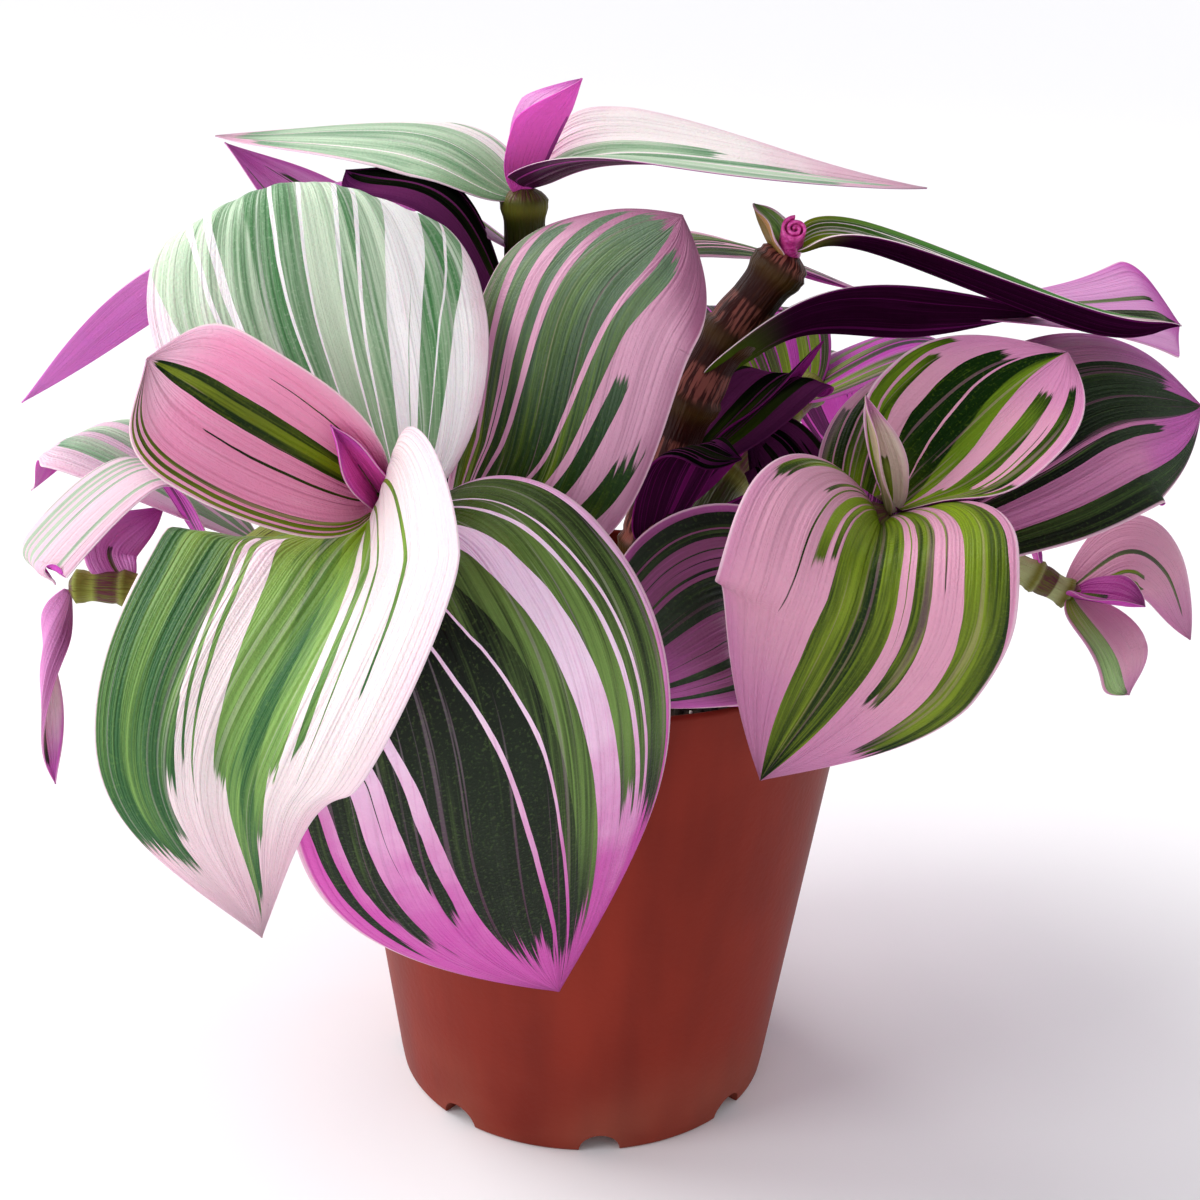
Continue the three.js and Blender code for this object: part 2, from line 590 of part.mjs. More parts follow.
// Where two stems come close at the soil, the later one makes room for the earlier.
const standing = [];
for (const stem of stems) {
  const solid = largest(standing.reduce((rest, other) => rest.subtract(other.space), stem.solid));
  standing.push(stem);
  plant.add(meshOf(`stem_${stem.name}`, solid, STEM_GREEN));
}

// Every blade is cut back from the stems, from the scroll and from the blades already
// there, so each base sits round what it grows from with the gap between them.
const scroll = scrollSolid();
const scrollAlone = largest(standing.reduce((rest, stem) => rest.subtract(stem.space), scroll));
plant.add(meshOf('leaf_thick_scroll', scrollAlone, LEAF_TISSUE));
const spaces = [...stems.map((stem) => stem.space), scrollSolid(GAP)];
for (const row of LEAVES) {
  const leaf = { roll: [0, 0], skew: 0, ...row };
  const blade = largest(spaces.reduce((rest, space) => rest.subtract(space), bladeSolid(leaf)));
  spaces.push(bladeSolid(leaf, GAP));
  plant.add(meshOf(leaf.name, blade, LEAF_TISSUE));
}

export default plant;
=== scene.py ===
"""A tradescantia with pink, white and green striped leaves in a plain terracotta-coloured nursery pot.

The object is put together as it grows: pot, soil, then one shoot after another, each stem with its leaves.
Lengths are in millimetres until mesh_piece puts them into a mesh, which is in metres.
"""
import itertools
import math

import bpy
import numpy as np
from mathutils import Matrix


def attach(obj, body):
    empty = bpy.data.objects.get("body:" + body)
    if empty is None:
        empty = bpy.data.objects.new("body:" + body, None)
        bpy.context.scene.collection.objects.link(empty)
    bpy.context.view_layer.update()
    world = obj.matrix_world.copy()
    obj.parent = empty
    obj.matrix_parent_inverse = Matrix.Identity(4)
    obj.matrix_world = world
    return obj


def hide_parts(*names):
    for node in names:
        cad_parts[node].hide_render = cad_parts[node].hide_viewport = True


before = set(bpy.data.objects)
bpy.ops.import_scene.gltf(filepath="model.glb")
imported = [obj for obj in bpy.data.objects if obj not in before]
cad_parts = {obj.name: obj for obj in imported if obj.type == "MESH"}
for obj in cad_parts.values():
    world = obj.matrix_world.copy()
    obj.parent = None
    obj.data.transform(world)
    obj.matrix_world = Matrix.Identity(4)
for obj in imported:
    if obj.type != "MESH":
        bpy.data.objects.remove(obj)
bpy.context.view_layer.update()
MM = 0.001

# ---- Camera. A 54 mm lens about 30 cm away, a little above the leaves and turned slightly to the left,
# so that the pot's sides spread upwards and the near leaves look large.
LENS = 54
SENSOR = 36
LOOK_AT = np.array((1.0, 0.0, 87.0))
DISTANCE = 304
ELEVATION = math.radians(20.5)
TILT = math.radians(1.6)


def camera_axes(elevation, tilt):
    """The camera's right, up and backward axes: level axes at that elevation, turned about the view by tilt."""
    back = np.array((0.0, -math.cos(elevation), math.sin(elevation)))
    right = np.array((1.0, 0.0, 0.0))
    up = np.cross(back, right)
    turned_right = right * math.cos(tilt) + up * math.sin(tilt)
    turned_up = up * math.cos(tilt) - right * math.sin(tilt)
    return turned_right, turned_up, back


camera = bpy.data.objects.new("camera", bpy.data.cameras.new("camera"))
bpy.context.collection.objects.link(camera)
camera.data.lens = LENS
camera.data.sensor_width = SENSOR
camera.data.clip_start = 0.01
camera.data.dof.use_dof = False
right_axis, up_axis, back_axis = camera_axes(ELEVATION, TILT)
placement = np.eye(4)
placement[:3, :3] = np.stack((right_axis, up_axis, back_axis), 1)
placement[:3, 3] = (LOOK_AT + back_axis * DISTANCE) * MM
camera.matrix_world = Matrix(placement.tolist())
bpy.context.scene.camera = camera
bpy.context.scene.view_settings.view_transform = "Standard"


# ---- Floor: a round white studio sweep, flat under the plant, rising very slowly far from it and turning up into
# a wall on every side. It is painted board, so it is matt with a very faint mottle.
FLAT_RADIUS = 2500
FLOOR_RADIUS = 20000
FLOOR_RISE = 0.1
SWEEP_RADIUS = 3000
FLOOR_SIDES = 96
FLOOR_WHITE = "#f7f6f8"
FLOOR_FAR_SHADE = "#f0f0f2"


class Value:
    """A socket of a material's node tree. Sums written with it add the Math nodes that work them out."""

    def __init__(self, tree, socket=None):
        self.tree = tree
        self.socket = socket

    def node(self, kind, settings=None, sockets=None, output=0):
        """Adds a node: its settings first, then the values or links of its sockets."""
        made = self.tree.nodes.new(kind)
        for name, setting in (settings or {}).items():
            if name == "stops":
                set_stops(made.color_ramp, setting)
            else:
                setattr(made, name, setting)
        for name, value in (sockets or {}).items():
            if isinstance(value, Value):
                self.tree.links.new(value.socket, made.inputs[name])
            else:
                made.inputs[name].default_value = value
        return Value(self.tree, made.outputs[output])

    def math(self, operation, *values):
        return self.node("ShaderNodeMath", {"operation": operation}, dict(enumerate(values)))

    def __add__(self, other):
        return self.math("ADD", self, other)

    def __radd__(self, other):
        return self.math("ADD", other, self)

    def __sub__(self, other):
        return self.math("SUBTRACT", self, other)

    def __rsub__(self, other):
        return self.math("SUBTRACT", other, self)

    def __mul__(self, other):
        return self.math("MULTIPLY", self, other)

    def rise(self, low, high):
        """0 below low, 1 above high and a smooth step between; the other way round where low is above high."""
        return self.node(
            "ShaderNodeMapRange",
            {"interpolation_type": "SMOOTHSTEP"},
            {"Value": self, "From Min": low, "From Max": high},
        )

    def mix(self, first, second):
        """The first colour where this value is 0, the second where it is 1."""
        return self.node("ShaderNodeMix", {"data_type": "RGBA"}, {0: self, 6: first, 7: second}, output=2)


def set_stops(ramp, stops):
    """Gives a colour ramp its (place, colour) stops, in rising order of place."""
    while len(ramp.elements) > 1:
        ramp.elements.remove(ramp.elements[-1])
    for number, (place, level) in enumerate(stops):
        stop = ramp.elements[0] if number == 0 else ramp.elements.new(place)
        stop.position = place
        stop.color = level


def colour(code):
    """A #rrggbb colour as linear red, green, blue and alpha."""
    levels = [int(code[i:i + 2], 16) / 255 for i in (1, 3, 5)]
    return tuple(v / 12.92 if v <= 0.04045 else ((v + 0.055) / 1.055) ** 2.4 for v in levels) + (1,)


def new_material(name, **constants):
    """A material with a Principled shader, whose constant values are given by the names of their sockets."""
    material = bpy.data.materials.new(name)
    material.use_nodes = True
    shader = material.node_tree.nodes["Principled BSDF"]
    for socket, value in constants.items():
        shader.inputs[socket.replace("_", " ")].default_value = value
    return material, Value(material.node_tree)


def feed(material, **links):
    """Links what varies over the surface to the Principled shader's sockets."""
    shader = material.node_tree.nodes["Principled BSDF"]
    for socket, value in links.items():
        material.node_tree.links.new(value.socket, shader.inputs[socket.replace("_", " ")])


def place_noise(shade, scale, detail=2.0, stretch=(1, 1, 1)):
    """Noise over the object's own place in metres, with a lump about 1 / scale metres wide."""
    place = shade.node("ShaderNodeTexCoord", output="Object")
    stretched = shade.node("ShaderNodeMapping", None, {"Vector": place, "Scale": stretch})
    return shade.node("ShaderNodeTexNoise", None, {"Vector": stretched, "Scale": scale, "Detail": detail})


def bump(shade, height, distance):
    """The normal of a surface whose height in metres varies by distance from level 0 to 1."""
    sockets = {"Height": height, "Distance": distance, "Strength": 1.0}
    return shade.node("ShaderNodeBump", None, sockets, output="Normal")


def mesh_piece(name, points, faces, material, attributes=None):
    """A smooth mesh from points in millimetres and faces. Attributes are one number a point, or one a face."""
    mesh = bpy.data.meshes.new(name)
    mesh.from_pydata((np.asarray(points) * MM).tolist(), [], faces)
    for key, values in (attributes or {}).items():
        domain = "POINT" if len(values) == len(points) else "FACE"
        layer = mesh.attributes.new(key, "FLOAT", domain)
        layer.data.foreach_set("value", np.asarray(values, np.float32))
    mesh.polygons.foreach_set("use_smooth", np.ones(len(mesh.polygons), bool))
    mesh.materials.append(material)
    mesh.update()
    piece = bpy.data.objects.new(name, mesh)
    bpy.context.collection.objects.link(piece)
    return piece


def closed_faces(rings, around):
    """Faces of a skin over closed rings of points: quads from ring to ring, and a fan to a pole at each end.

    Point k of ring i is number i * around + k, and the two poles come last.
    """
    ring, step = np.meshgrid(np.arange(rings - 1), np.arange(around), indexing="ij")
    here = ring * around + step
    beside = ring * around + (step + 1) % around
    quads = np.stack((here, here + around, beside + around, beside), -1).reshape(-1, 4)
    step = np.arange(around)
    after = (step + 1) % around
    first_pole = np.full(around, rings * around)
    last = (rings - 1) * around
    start = np.stack((step, after, first_pole), 1)
    end = np.stack((last + after, last + step, first_pole + 1), 1)
    return quads.tolist() + start.tolist() + end.tolist()


def closed_skin(rings, poles=None):
    """Points and outward faces of the skin over rings (an array ring, point, axis), closed by a pole at each end."""
    count, around = rings.shape[:2]
    ends = np.stack((rings[0].mean(0), rings[-1].mean(0))) if poles is None else np.asarray(poles, float)
    points = np.concatenate((rings.reshape(-1, 3), ends))
    faces = closed_faces(count, around)
    corners = points[np.array([face[:3] for face in faces])]
    spread = np.einsum("ij,ij->", corners[:, 0], np.cross(corners[:, 1], corners[:, 2]))
    if spread < 0:
        faces = [face[::-1] for face in faces]
    return points, faces


def turned_rings(profile, sides):
    """Rings of a body of revolution about Z: radius r and height z of the profile, at the angle of each side."""
    radius, height = np.asarray(profile, float).T
    angle = np.linspace(0, 2 * np.pi, sides, endpoint=False)
    x = radius[:, None] * np.cos(angle)
    y = radius[:, None] * np.sin(angle)
    z = np.broadcast_to(height[:, None], x.shape)
    return np.stack((x, y, z), -1)


def sweep_profile():
    """The floor's radius and height: flat in the middle, then rising more and more, up to the slope FLOOR_RISE, and
    a quarter circle up to the wall."""
    flat = [(200, 0), (800, 0)]
    slow = [(r, FLOOR_RISE * (r - FLAT_RADIUS) ** 2 / r) for r in np.linspace(FLAT_RADIUS, FLOOR_RADIUS, 40)]
    turn = np.linspace(0, np.pi / 2, 24)[1:]
    radius, height = slow[-1]
    bend = [(radius + SWEEP_RADIUS * math.sin(a), height + SWEEP_RADIUS * (1 - math.cos(a))) for a in turn]
    return flat + slow + bend


board, shade = new_material("painted_board", Roughness=0.75)
mottle = place_noise(shade, 6)
place = shade.node("ShaderNodeTexCoord", output="Object")
# Painted shade: the board turns a little greyer far from the plant, standing in for the light falling off away from
# it.
far = shade.node("ShaderNodeVectorMath", {"operation": "LENGTH"}, {0: place}, output="Value").rise(0.1, 2.5)
near_white = mottle.rise(0.2, 0.8).mix(colour(FLOOR_WHITE), colour("#faf9fb"))
feed(board, Base_Color=far.mix(near_white, colour(FLOOR_FAR_SHADE)))
sweep = turned_rings(sweep_profile(), FLOOR_SIDES)
sweep_points, sweep_faces = closed_skin(sweep)
floor = mesh_piece("floor", sweep_points, [f for f in sweep_faces if max(f) < len(sweep_points) - 1], board)


# ---- Light: bright overcast daylight from a wide window to the left and behind, which reaches the plant as a
# very broad sun, a white reflector card out to the left, and a soft white room. The leaves that face the viewer
# stand in their own soft shade.
SUN_WAY = np.array((-0.7, 0.42, 0.72))
SUN_SPREAD = math.radians(50)
SUN_STRENGTH = 2.4
REFLECTOR_PLACE = np.array((-1000.0, -450.0, 500.0))
REFLECTOR_SIZE = 500
REFLECTOR_POWER = 5.5
ROOM_STRENGTH = 0.65


def facing(back, place):
    """The placement of a lamp at place (mm) that shines against the direction back."""
    back = back / np.linalg.norm(back)
    side = np.cross((0, 0, 1), back)
    side /= np.linalg.norm(side)
    matrix = np.eye(4)
    matrix[:3, :3] = np.stack((side, np.cross(back, side), back), 1)
    matrix[:3, 3] = place * MM
    return Matrix(matrix.tolist())


sun = bpy.data.lights.new("window", "SUN")
sun.energy = SUN_STRENGTH
sun.angle = SUN_SPREAD
sun.color = (1.0, 0.99, 0.97)
window = bpy.data.objects.new("window", sun)
bpy.context.collection.objects.link(window)
window.matrix_world = facing(SUN_WAY, np.zeros(3))
reflector_lamp = bpy.data.lights.new("reflector", "AREA")
reflector_lamp.size = REFLECTOR_SIZE * MM
reflector_lamp.energy = REFLECTOR_POWER
reflector = bpy.data.objects.new("reflector", reflector_lamp)
bpy.context.collection.objects.link(reflector)
reflector.matrix_world = facing(REFLECTOR_PLACE - LOOK_AT, REFLECTOR_PLACE)
world = bpy.data.worlds.new("room")
world.use_nodes = True
room_walls = world.node_tree.nodes["Background"]
room_walls.inputs["Color"].default_value = (0.97, 0.97, 1.0, 1)
room_walls.inputs["Strength"].default_value = ROOM_STRENGTH
bpy.context.scene.world = world


# ---- Pot: a thin moulded plastic nursery pot, 9 cm across, with eight arched drain openings at its foot.
# It is one injection moulding with a satin face, faint upright flow marks and a dusty foot.
POT_RIM_RADIUS = 45
POT_BASE_RADIUS = 33
POT_HEIGHT = 85
POT_WALL = 1.4
POT_FLOOR = 2.5
POT_EDGE = 0.6
POT_SIDES = 160
DRAIN_COUNT = 8
DRAIN_WIDTH = 7
DRAIN_HEIGHT = 3.5
DRAIN_REACH = 4
DRAIN_FIRST = math.radians(-84)
POT_DARK = "#6c1c0f"
POT_LIGHT = "#842818"
POT_DUST = "#9c6350"


def pot_radius(height):
    """The outer radius grows evenly from the base to the rim."""
    return POT_BASE_RADIUS + (POT_RIM_RADIUS - POT_BASE_RADIUS) * height / POT_HEIGHT


def pot_profile():
    """Radius and height from the middle of the base, up the outside, over the round rim and down the inside."""
    quarter = np.linspace(0, np.pi / 2, 5)
    edge = POT_EDGE
    foot = [(pot_radius(0) - edge + edge * math.sin(a), edge - edge * math.cos(a)) for a in quarter]
    outside = [(pot_radius(z), z) for z in np.linspace(3, POT_HEIGHT - 2, 14)]
    half = POT_WALL / 2
    turn = np.linspace(0, np.pi, 9)
    middle = pot_radius(POT_HEIGHT) - half
    rim = [(middle + half * math.cos(a), POT_HEIGHT - half + half * math.sin(a)) for a in turn]
    inside = [(pot_radius(z) - POT_WALL, z) for z in np.linspace(POT_HEIGHT - 2, POT_FLOOR + 0.5, 8)]
    bottom = [(pot_radius(POT_FLOOR) - POT_WALL - 1, POT_FLOOR), (10, POT_FLOOR)]
    return [(10, 0), (pot_radius(0) - 3, 0)] + foot + outside + rim + inside + bottom


def drain_cutter():
    """One mesh of eight arched bars through the foot of the wall, for cutting the drain openings."""
    half = DRAIN_WIDTH / 2
    half_turn = np.linspace(0, np.pi, 13)
    arch = [(half * math.cos(a), DRAIN_HEIGHT - half + half * math.sin(a)) for a in half_turn]
    section = np.array([(half, -1)] + arch + [(-half, -1)])
    points = []
    faces = []
    for number in range(DRAIN_COUNT):
        turn = DRAIN_FIRST + 2 * np.pi * number / DRAIN_COUNT
        out = np.array((math.cos(turn), math.sin(turn), 0))
        side = np.array((-math.sin(turn), math.cos(turn), 0))
        rings = np.stack([
            out * radius + section[:, :1] * side + section[:, 1:] * np.array((0, 0, 1))
            for radius in (POT_BASE_RADIUS - DRAIN_REACH, POT_BASE_RADIUS + DRAIN_REACH)
        ])
        bar_points, bar_faces = closed_skin(rings)
        faces += [[corner + len(points) for corner in face] for face in bar_faces]
        points += bar_points.tolist()
    return points, faces


def cut_from(piece, points, faces):
    """Takes a closed shape out of a piece, and leaves the result in the piece's own mesh."""
    cutter = mesh_piece("cutter", points, faces, piece.data.materials[0])
    cut = piece.modifiers.new("cut", "BOOLEAN")
    cut.object = cutter
    cut.operation = "DIFFERENCE"
    cut.solver = "EXACT"
    whole = piece.evaluated_get(bpy.context.evaluated_depsgraph_get())
    made = bpy.data.meshes.new_from_object(whole)
    piece.modifiers.remove(cut)
    piece.data = made
    bpy.data.objects.remove(cutter)


pot_plastic, shade = new_material("pot_plastic", Specular_IOR_Level=0.14)
flow = place_noise(shade, 90, 3, (1, 1, 0.08))
cloud = place_noise(shade, 28, 3)
peel = place_noise(shade, 900, 2)
place = shade.node("ShaderNodeTexCoord", output="Object")
height = shade.node("ShaderNodeSeparateXYZ", None, {"Vector": place}, output="Z")
plain = (flow * 0.6 + cloud * 0.4).rise(0.3, 0.7).mix(colour(POT_DARK), colour(POT_LIGHT))
dust = height.rise(0.022, 0.0) * cloud.rise(0.35, 0.7) * 0.35
feed(
    pot_plastic,
    Base_Color=dust.mix(plain, colour(POT_DUST)),
    Roughness=0.42 + flow * 0.16 + dust * 0.3,
    Normal=bump(shade, peel * 0.5 + flow, 0.00012),
)
pot_points, pot_faces = closed_skin(turned_rings(pot_profile(), POT_SIDES), [(0, 0, 0), (0, 0, POT_FLOOR)])
pot = mesh_piece("moulded_pot", pot_points, pot_faces, pot_plastic)
cut_from(pot, *drain_cutter())
pot.data.polygons.foreach_set("use_smooth", np.ones(len(pot.data.polygons), bool))
pot.data.set_sharp_from_angle(angle=math.radians(40))
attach(pot, "root")
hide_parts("pot")


# ---- Soil: dark peat potting mix that fills the pot to just under the rim, with crumbs, bark chips and
# a few white grains of perlite lying on it.
SOIL_LEVEL = 77
SOIL_SIDES = 128
SOIL_GAP = 0.3
SOIL_DARK = "#150d08"
SOIL_LIGHT = "#3c2a1e"
LUMP_SHARE = 0.018
LUMP_SEED = 5
CRUMB_COUNT = 900
CRUMB_SIDES = 5
CRUMB_SEED = 11


def lumpy(x, y):
    """The soil's height over its level: a sum of plane waves 2 to 14 mm long, each with its own way and phase and
    LUMP_SHARE of its length high."""
    waves = np.random.default_rng(LUMP_SEED)
    total = np.zeros_like(x)
    for length in np.geomspace(14, 2, 26):
        angle, phase = waves.uniform(0, 2 * np.pi, 2)
        total += length * LUMP_SHARE * np.sin((x * math.cos(angle) + y * math.sin(angle)) * 2 * np.pi / length + phase)
    return total


soil_reach = pot_radius(SOIL_LEVEL) - POT_WALL - SOIL_GAP
soil_foot = pot_radius(POT_FLOOR) - POT_WALL - SOIL_GAP
soil_profile = [(10, POT_FLOOR + SOIL_GAP), (soil_foot, POT_FLOOR + SOIL_GAP)]
soil_profile += [(soil_reach * share, SOIL_LEVEL) for share in np.linspace(1, 0.01, 60)]
soil_rings = turned_rings(soil_profile, SOIL_SIDES)
soil_top = soil_rings[2:]
edge_fade = np.clip((soil_reach - np.hypot(soil_top[..., 0], soil_top[..., 1])) / 1.5, 0, 1)
soil_top[..., 2] += lumpy(soil_top[..., 0], soil_top[..., 1]) * edge_fade
soil_earth, shade = new_material("potting_soil", Roughness=0.95)
crumb_noise = place_noise(shade, 450, 4)
patch = place_noise(shade, 60, 3)
earth = (crumb_noise * 0.7 + patch * 0.3).rise(0.35, 0.68).mix(colour(SOIL_DARK), colour(SOIL_LIGHT))
feed(soil_earth, Base_Color=earth, Normal=bump(shade, crumb_noise, 0.0012))
soil_points, soil_faces = closed_skin(soil_rings)
soil = mesh_piece("peat", soil_points, soil_faces, soil_earth)
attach(soil, "root")
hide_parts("soil")


def crumbs(count):
    """Small lumps on the soil: each is a squashed ball of five sides, turned at random, with a tint of its own."""
    rng = np.random.default_rng(CRUMB_SEED)
    radius = soil_reach * np.sqrt(rng.uniform(0, 0.94, count))
    angle = rng.uniform(0, 2 * np.pi, count)
    x, y = radius * np.cos(angle), radius * np.sin(angle)
    z = SOIL_LEVEL + lumpy(x, y) + 0.1
    size = rng.uniform(0.35, 1.2, count)[:, None] * rng.uniform(0.5, 1.2, (count, 3))
    ball = turned_rings([(0.75, -0.7), (1, 0), (0.7, 0.7)], CRUMB_SIDES)
    unit, unit_faces = closed_skin(ball, [(0, 0, -1), (0, 0, 1)])
    turn = rng.uniform(0, 2 * np.pi, count)
    shape = unit[None] * size[:, None, :] * (1 + rng.uniform(-0.18, 0.18, (count, len(unit), 1)))
    across = shape[..., 0] * np.cos(turn)[:, None] - shape[..., 1] * np.sin(turn)[:, None]
    forward = shape[..., 0] * np.sin(turn)[:, None] + shape[..., 1] * np.cos(turn)[:, None]
    points = np.stack((across + x[:, None], forward + y[:, None], shape[..., 2] + z[:, None]), -1)
    faces = [[c + i * len(unit) for c in face] for i in range(count) for face in unit_faces]
    tint = np.repeat(rng.uniform(0, 1, count), len(unit))
    return points.reshape(-1, 3), faces, tint


def attribute(shade, name):
    """The number that a piece's mesh holds under that name."""
    return shade.node("ShaderNodeAttribute", {"attribute_name": name}, output="Fac")


PEAT, BARK, LIGHT_BARK, PERLITE = "#1a100a", "#3d2a1c", "#6a4a30", "#d8d2c6"
crumb_stuff, shade = new_material("soil_crumbs", Roughness=0.9)
mixed = [(0.0, colour(PEAT)), (0.55, colour(BARK)), (0.86, colour(LIGHT_BARK)), (0.93, colour(PERLITE))]
feed(
    crumb_stuff,
    Base_Color=shade.node("ShaderNodeValToRGB", {"stops": mixed}, {"Fac": attribute(shade, "tint")}),
    Normal=bump(shade, place_noise(shade, 1500, 2), 0.0003),
)
crumb_points, crumb_faces, crumb_tint = crumbs(CRUMB_COUNT)
crumb = mesh_piece("soil_crumbs", crumb_points, crumb_faces, crumb_stuff, {"tint": crumb_tint})
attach(crumb, "root")


# ---- Front shoot: the stem that carries the big rosette over the pot's left side, and its leaves.
# A stem is a juicy jointed tube; each leaf clasps it with a sheath just above a swollen node.
STEM_SIDES = 28
STEM_STEPS = 150
STEM_RIBS = 9
NODE_WIDTH = 1.6
SHEATH_LENGTH = 7
BLADE_START = 0.02
BLADE_THICKNESS = 0.7
BLADE_TIP_WIDTH = 0.25
CELLS_ALONG = 1.3
CELLS_ACROSS = 1.5
PLEAT_WIDTH = 5
PLEAT_DEPTH = 0.16
GROOVE_WIDTH = 0.9
GROOVE_DEPTH = 0.45
MARGIN_WAVES = 1.6
VEIN_GAP = 1.6
GREEN_REACH = 1.25
STRIPE_LEAN = 0.3
STRIPE_LEAN_MOST = 0.004
RAMP_STRIPES = 7


def curve_through(points, share):
    """Points and unit tangents at shares of a uniform Catmull-Rom curve, whose ends run on in a straight line."""
    way = np.asarray(points, float)
    way = np.concatenate(([2 * way[0] - way[1]], way, [2 * way[-1] - way[-2]]))
    spans = len(way) - 3
    place = np.clip(np.asarray(share, float), 0, 1) * spans
    span = np.minimum(place.astype(int), spans - 1)
    t = (place - span)[:, None]
    a, b, c, d = (way[span + k] for k in range(4))
    point = 0.5 * (2 * b + (c - a) * t + (2 * a - 5 * b + 4 * c - d) * t ** 2 + (3 * b - a - 3 * c + d) * t ** 3)
    slope = 0.5 * ((c - a) + 2 * (2 * a - 5 * b + 4 * c - d) * t + 3 * (3 * b - a - 3 * c + d) * t ** 2)
    return point, slope / np.linalg.norm(slope, axis=1, keepdims=True)


def blend(ends, share):
    """From the first value to the second, evenly with the share."""
    return ends[0] + (ends[1] - ends[0]) * share


def path_length(points):
    """The length of the straight steps from point to point."""
    return np.linalg.norm(np.diff(points, axis=0), axis=1).sum()


class Stem:
    """A shoot's stem: its way from the root up, its radii, and where its nodes lie above the soil."""

    def __init__(self, through, radius, nodes):
        self.through = through
        self.radius = radius
        self.nodes = nodes

    def on_curve(self, at):
        """A share of the length above the soil as a share of the whole curve, whose first span is the root."""
        spans = len(self.through) - 1
        return (1 + np.asarray(at, float) * (spans - 1)) / spans

    def point(self, at):
        return curve_through(self.through, np.atleast_1d(self.on_curve(at)))[0][0]


def stem_skin(stem):
    """A round tube along the stem, with low ribs. Each node is a low bell of 1.2 radii with a groove over it, and
    above it the sheath is a sleeve of 1.1 radii that narrows to its end. The tip closes in a blunt parabola."""
    at = np.linspace(-1 / (len(stem.through) - 2), 1, STEM_STEPS)
    point, tangent = curve_through(stem.through, stem.on_curve(at))
    radius = blend(stem.radius, np.maximum(at, 0))
    length = path_length(curve_through(stem.through, stem.on_curve(np.linspace(0, 1, 60)))[0])
    swell = np.ones_like(at)
    for node in stem.nodes:
        away = (at - node) * length
        swell += 0.2 * np.exp(-(away / NODE_WIDTH) ** 2)
        swell += 0.1 * (away > 0.4) * np.clip((SHEATH_LENGTH - away) / 3, 0, 1)
        swell -= 0.08 * np.exp(-((away - 1.9) / 0.5) ** 2)
    swell *= np.sqrt(np.clip((1.004 - at) / 0.02, 0.02, 1))
    angle = np.linspace(0, 2 * np.pi, STEM_SIDES, endpoint=False)
    side = np.cross(tangent, (0.0, 1.0, 0.0) if abs(tangent[:, 1]).max() < 0.9 else (1.0, 0.0, 0.0))
    side /= np.linalg.norm(side, axis=1, keepdims=True)
    over = np.cross(tangent, side)
    ribs = 1 + 0.018 * np.cos(STEM_RIBS * angle)
    reach = (radius * swell)[:, None, None] * ribs[None, :, None]
    ring = side[:, None] * np.cos(angle)[None, :, None] + over[:, None] * np.sin(angle)[None, :, None]
    rings = point[:, None] + ring * reach
    around = np.broadcast_to(angle, rings.shape[:2])
    return rings, np.repeat(at, STEM_SIDES), around.ravel(), length


def stem_material(name, green, flush, sheath, flushed):
    """Juicy green flushed with purple-brown in fine upright streaks, paler at each node, with striped sheaths."""
    material, shade = new_material(
        name, Roughness=0.42, Specular_IOR_Level=0.15, Subsurface_Weight=0.12, Subsurface_Radius=(1, 0.6, 0.3),
        Subsurface_Scale=0.001,
    )
    across = attribute(shade, "around_x") * 3.5
    over = attribute(shade, "around_y") * 3.5
    way = shade.node("ShaderNodeCombineXYZ", None, {"X": across, "Y": over, "Z": attribute(shade, "upward") * 0.09})
    streak = shade.node("ShaderNodeTexNoise", None, {"Vector": way, "Scale": 2.4, "Detail": 3.0})
    cloud = place_noise(shade, 160, 3)
    dark = (streak * 0.6 + cloud * 0.4).rise(0.62 - flushed * 0.3, 0.75 - flushed * 0.3)
    skin = dark.mix(colour(green), colour(flush))
    stripes = streak.rise(0.45, 0.56).mix(colour(sheath[0]), colour(sheath[1]))
    dressed = attribute(shade, "sheath").mix(skin, stripes)
    feed(
        material,
        Base_Color=attribute(shade, "node").mix(dressed, colour(sheath[2])),
        Normal=bump(shade, streak + cloud * 0.4, 0.0004),
    )
    return material


def grow_stem(name, through, radius, nodes, green="#363c0e", flush="#38270e",
              sheath=("#5f5828", "#5f3238", "#74742a"), flushed=0.3):
    """Makes a stem with its material, and returns it for its leaves to grow on."""
    stem = Stem(through, radius, nodes)
    rings, upward, around, length = stem_skin(stem)
    points, faces = closed_skin(rings)
    near = np.zeros_like(upward)
    clothed = np.zeros_like(upward)
    for node in nodes:
        away = (upward - node) * length
        near = np.maximum(near, np.exp(-((away + 0.3) / 1.5) ** 2))
        sleeve = np.clip((away - 1) / 0.5, 0, 1) * np.clip((SHEATH_LENGTH - 0.2 - away) / 0.3, 0, 1)
        clothed = np.maximum(clothed, sleeve)

    def with_poles(values):
        return np.concatenate((values, [values[0], values[-1]]))

    attributes = {
        "around_x": with_poles(np.cos(around)), "around_y": with_poles(np.sin(around)),
        "upward": with_poles(upward * length), "node": with_poles(near), "sheath": with_poles(clothed),
    }
    material = stem_material(f"stem_{name}_skin", green, flush, sheath, flushed)
    piece = mesh_piece(f"{name}_stem", points, faces, material, attributes)
    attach(piece, "root")
    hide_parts(f"stem_{name}")
    return stem


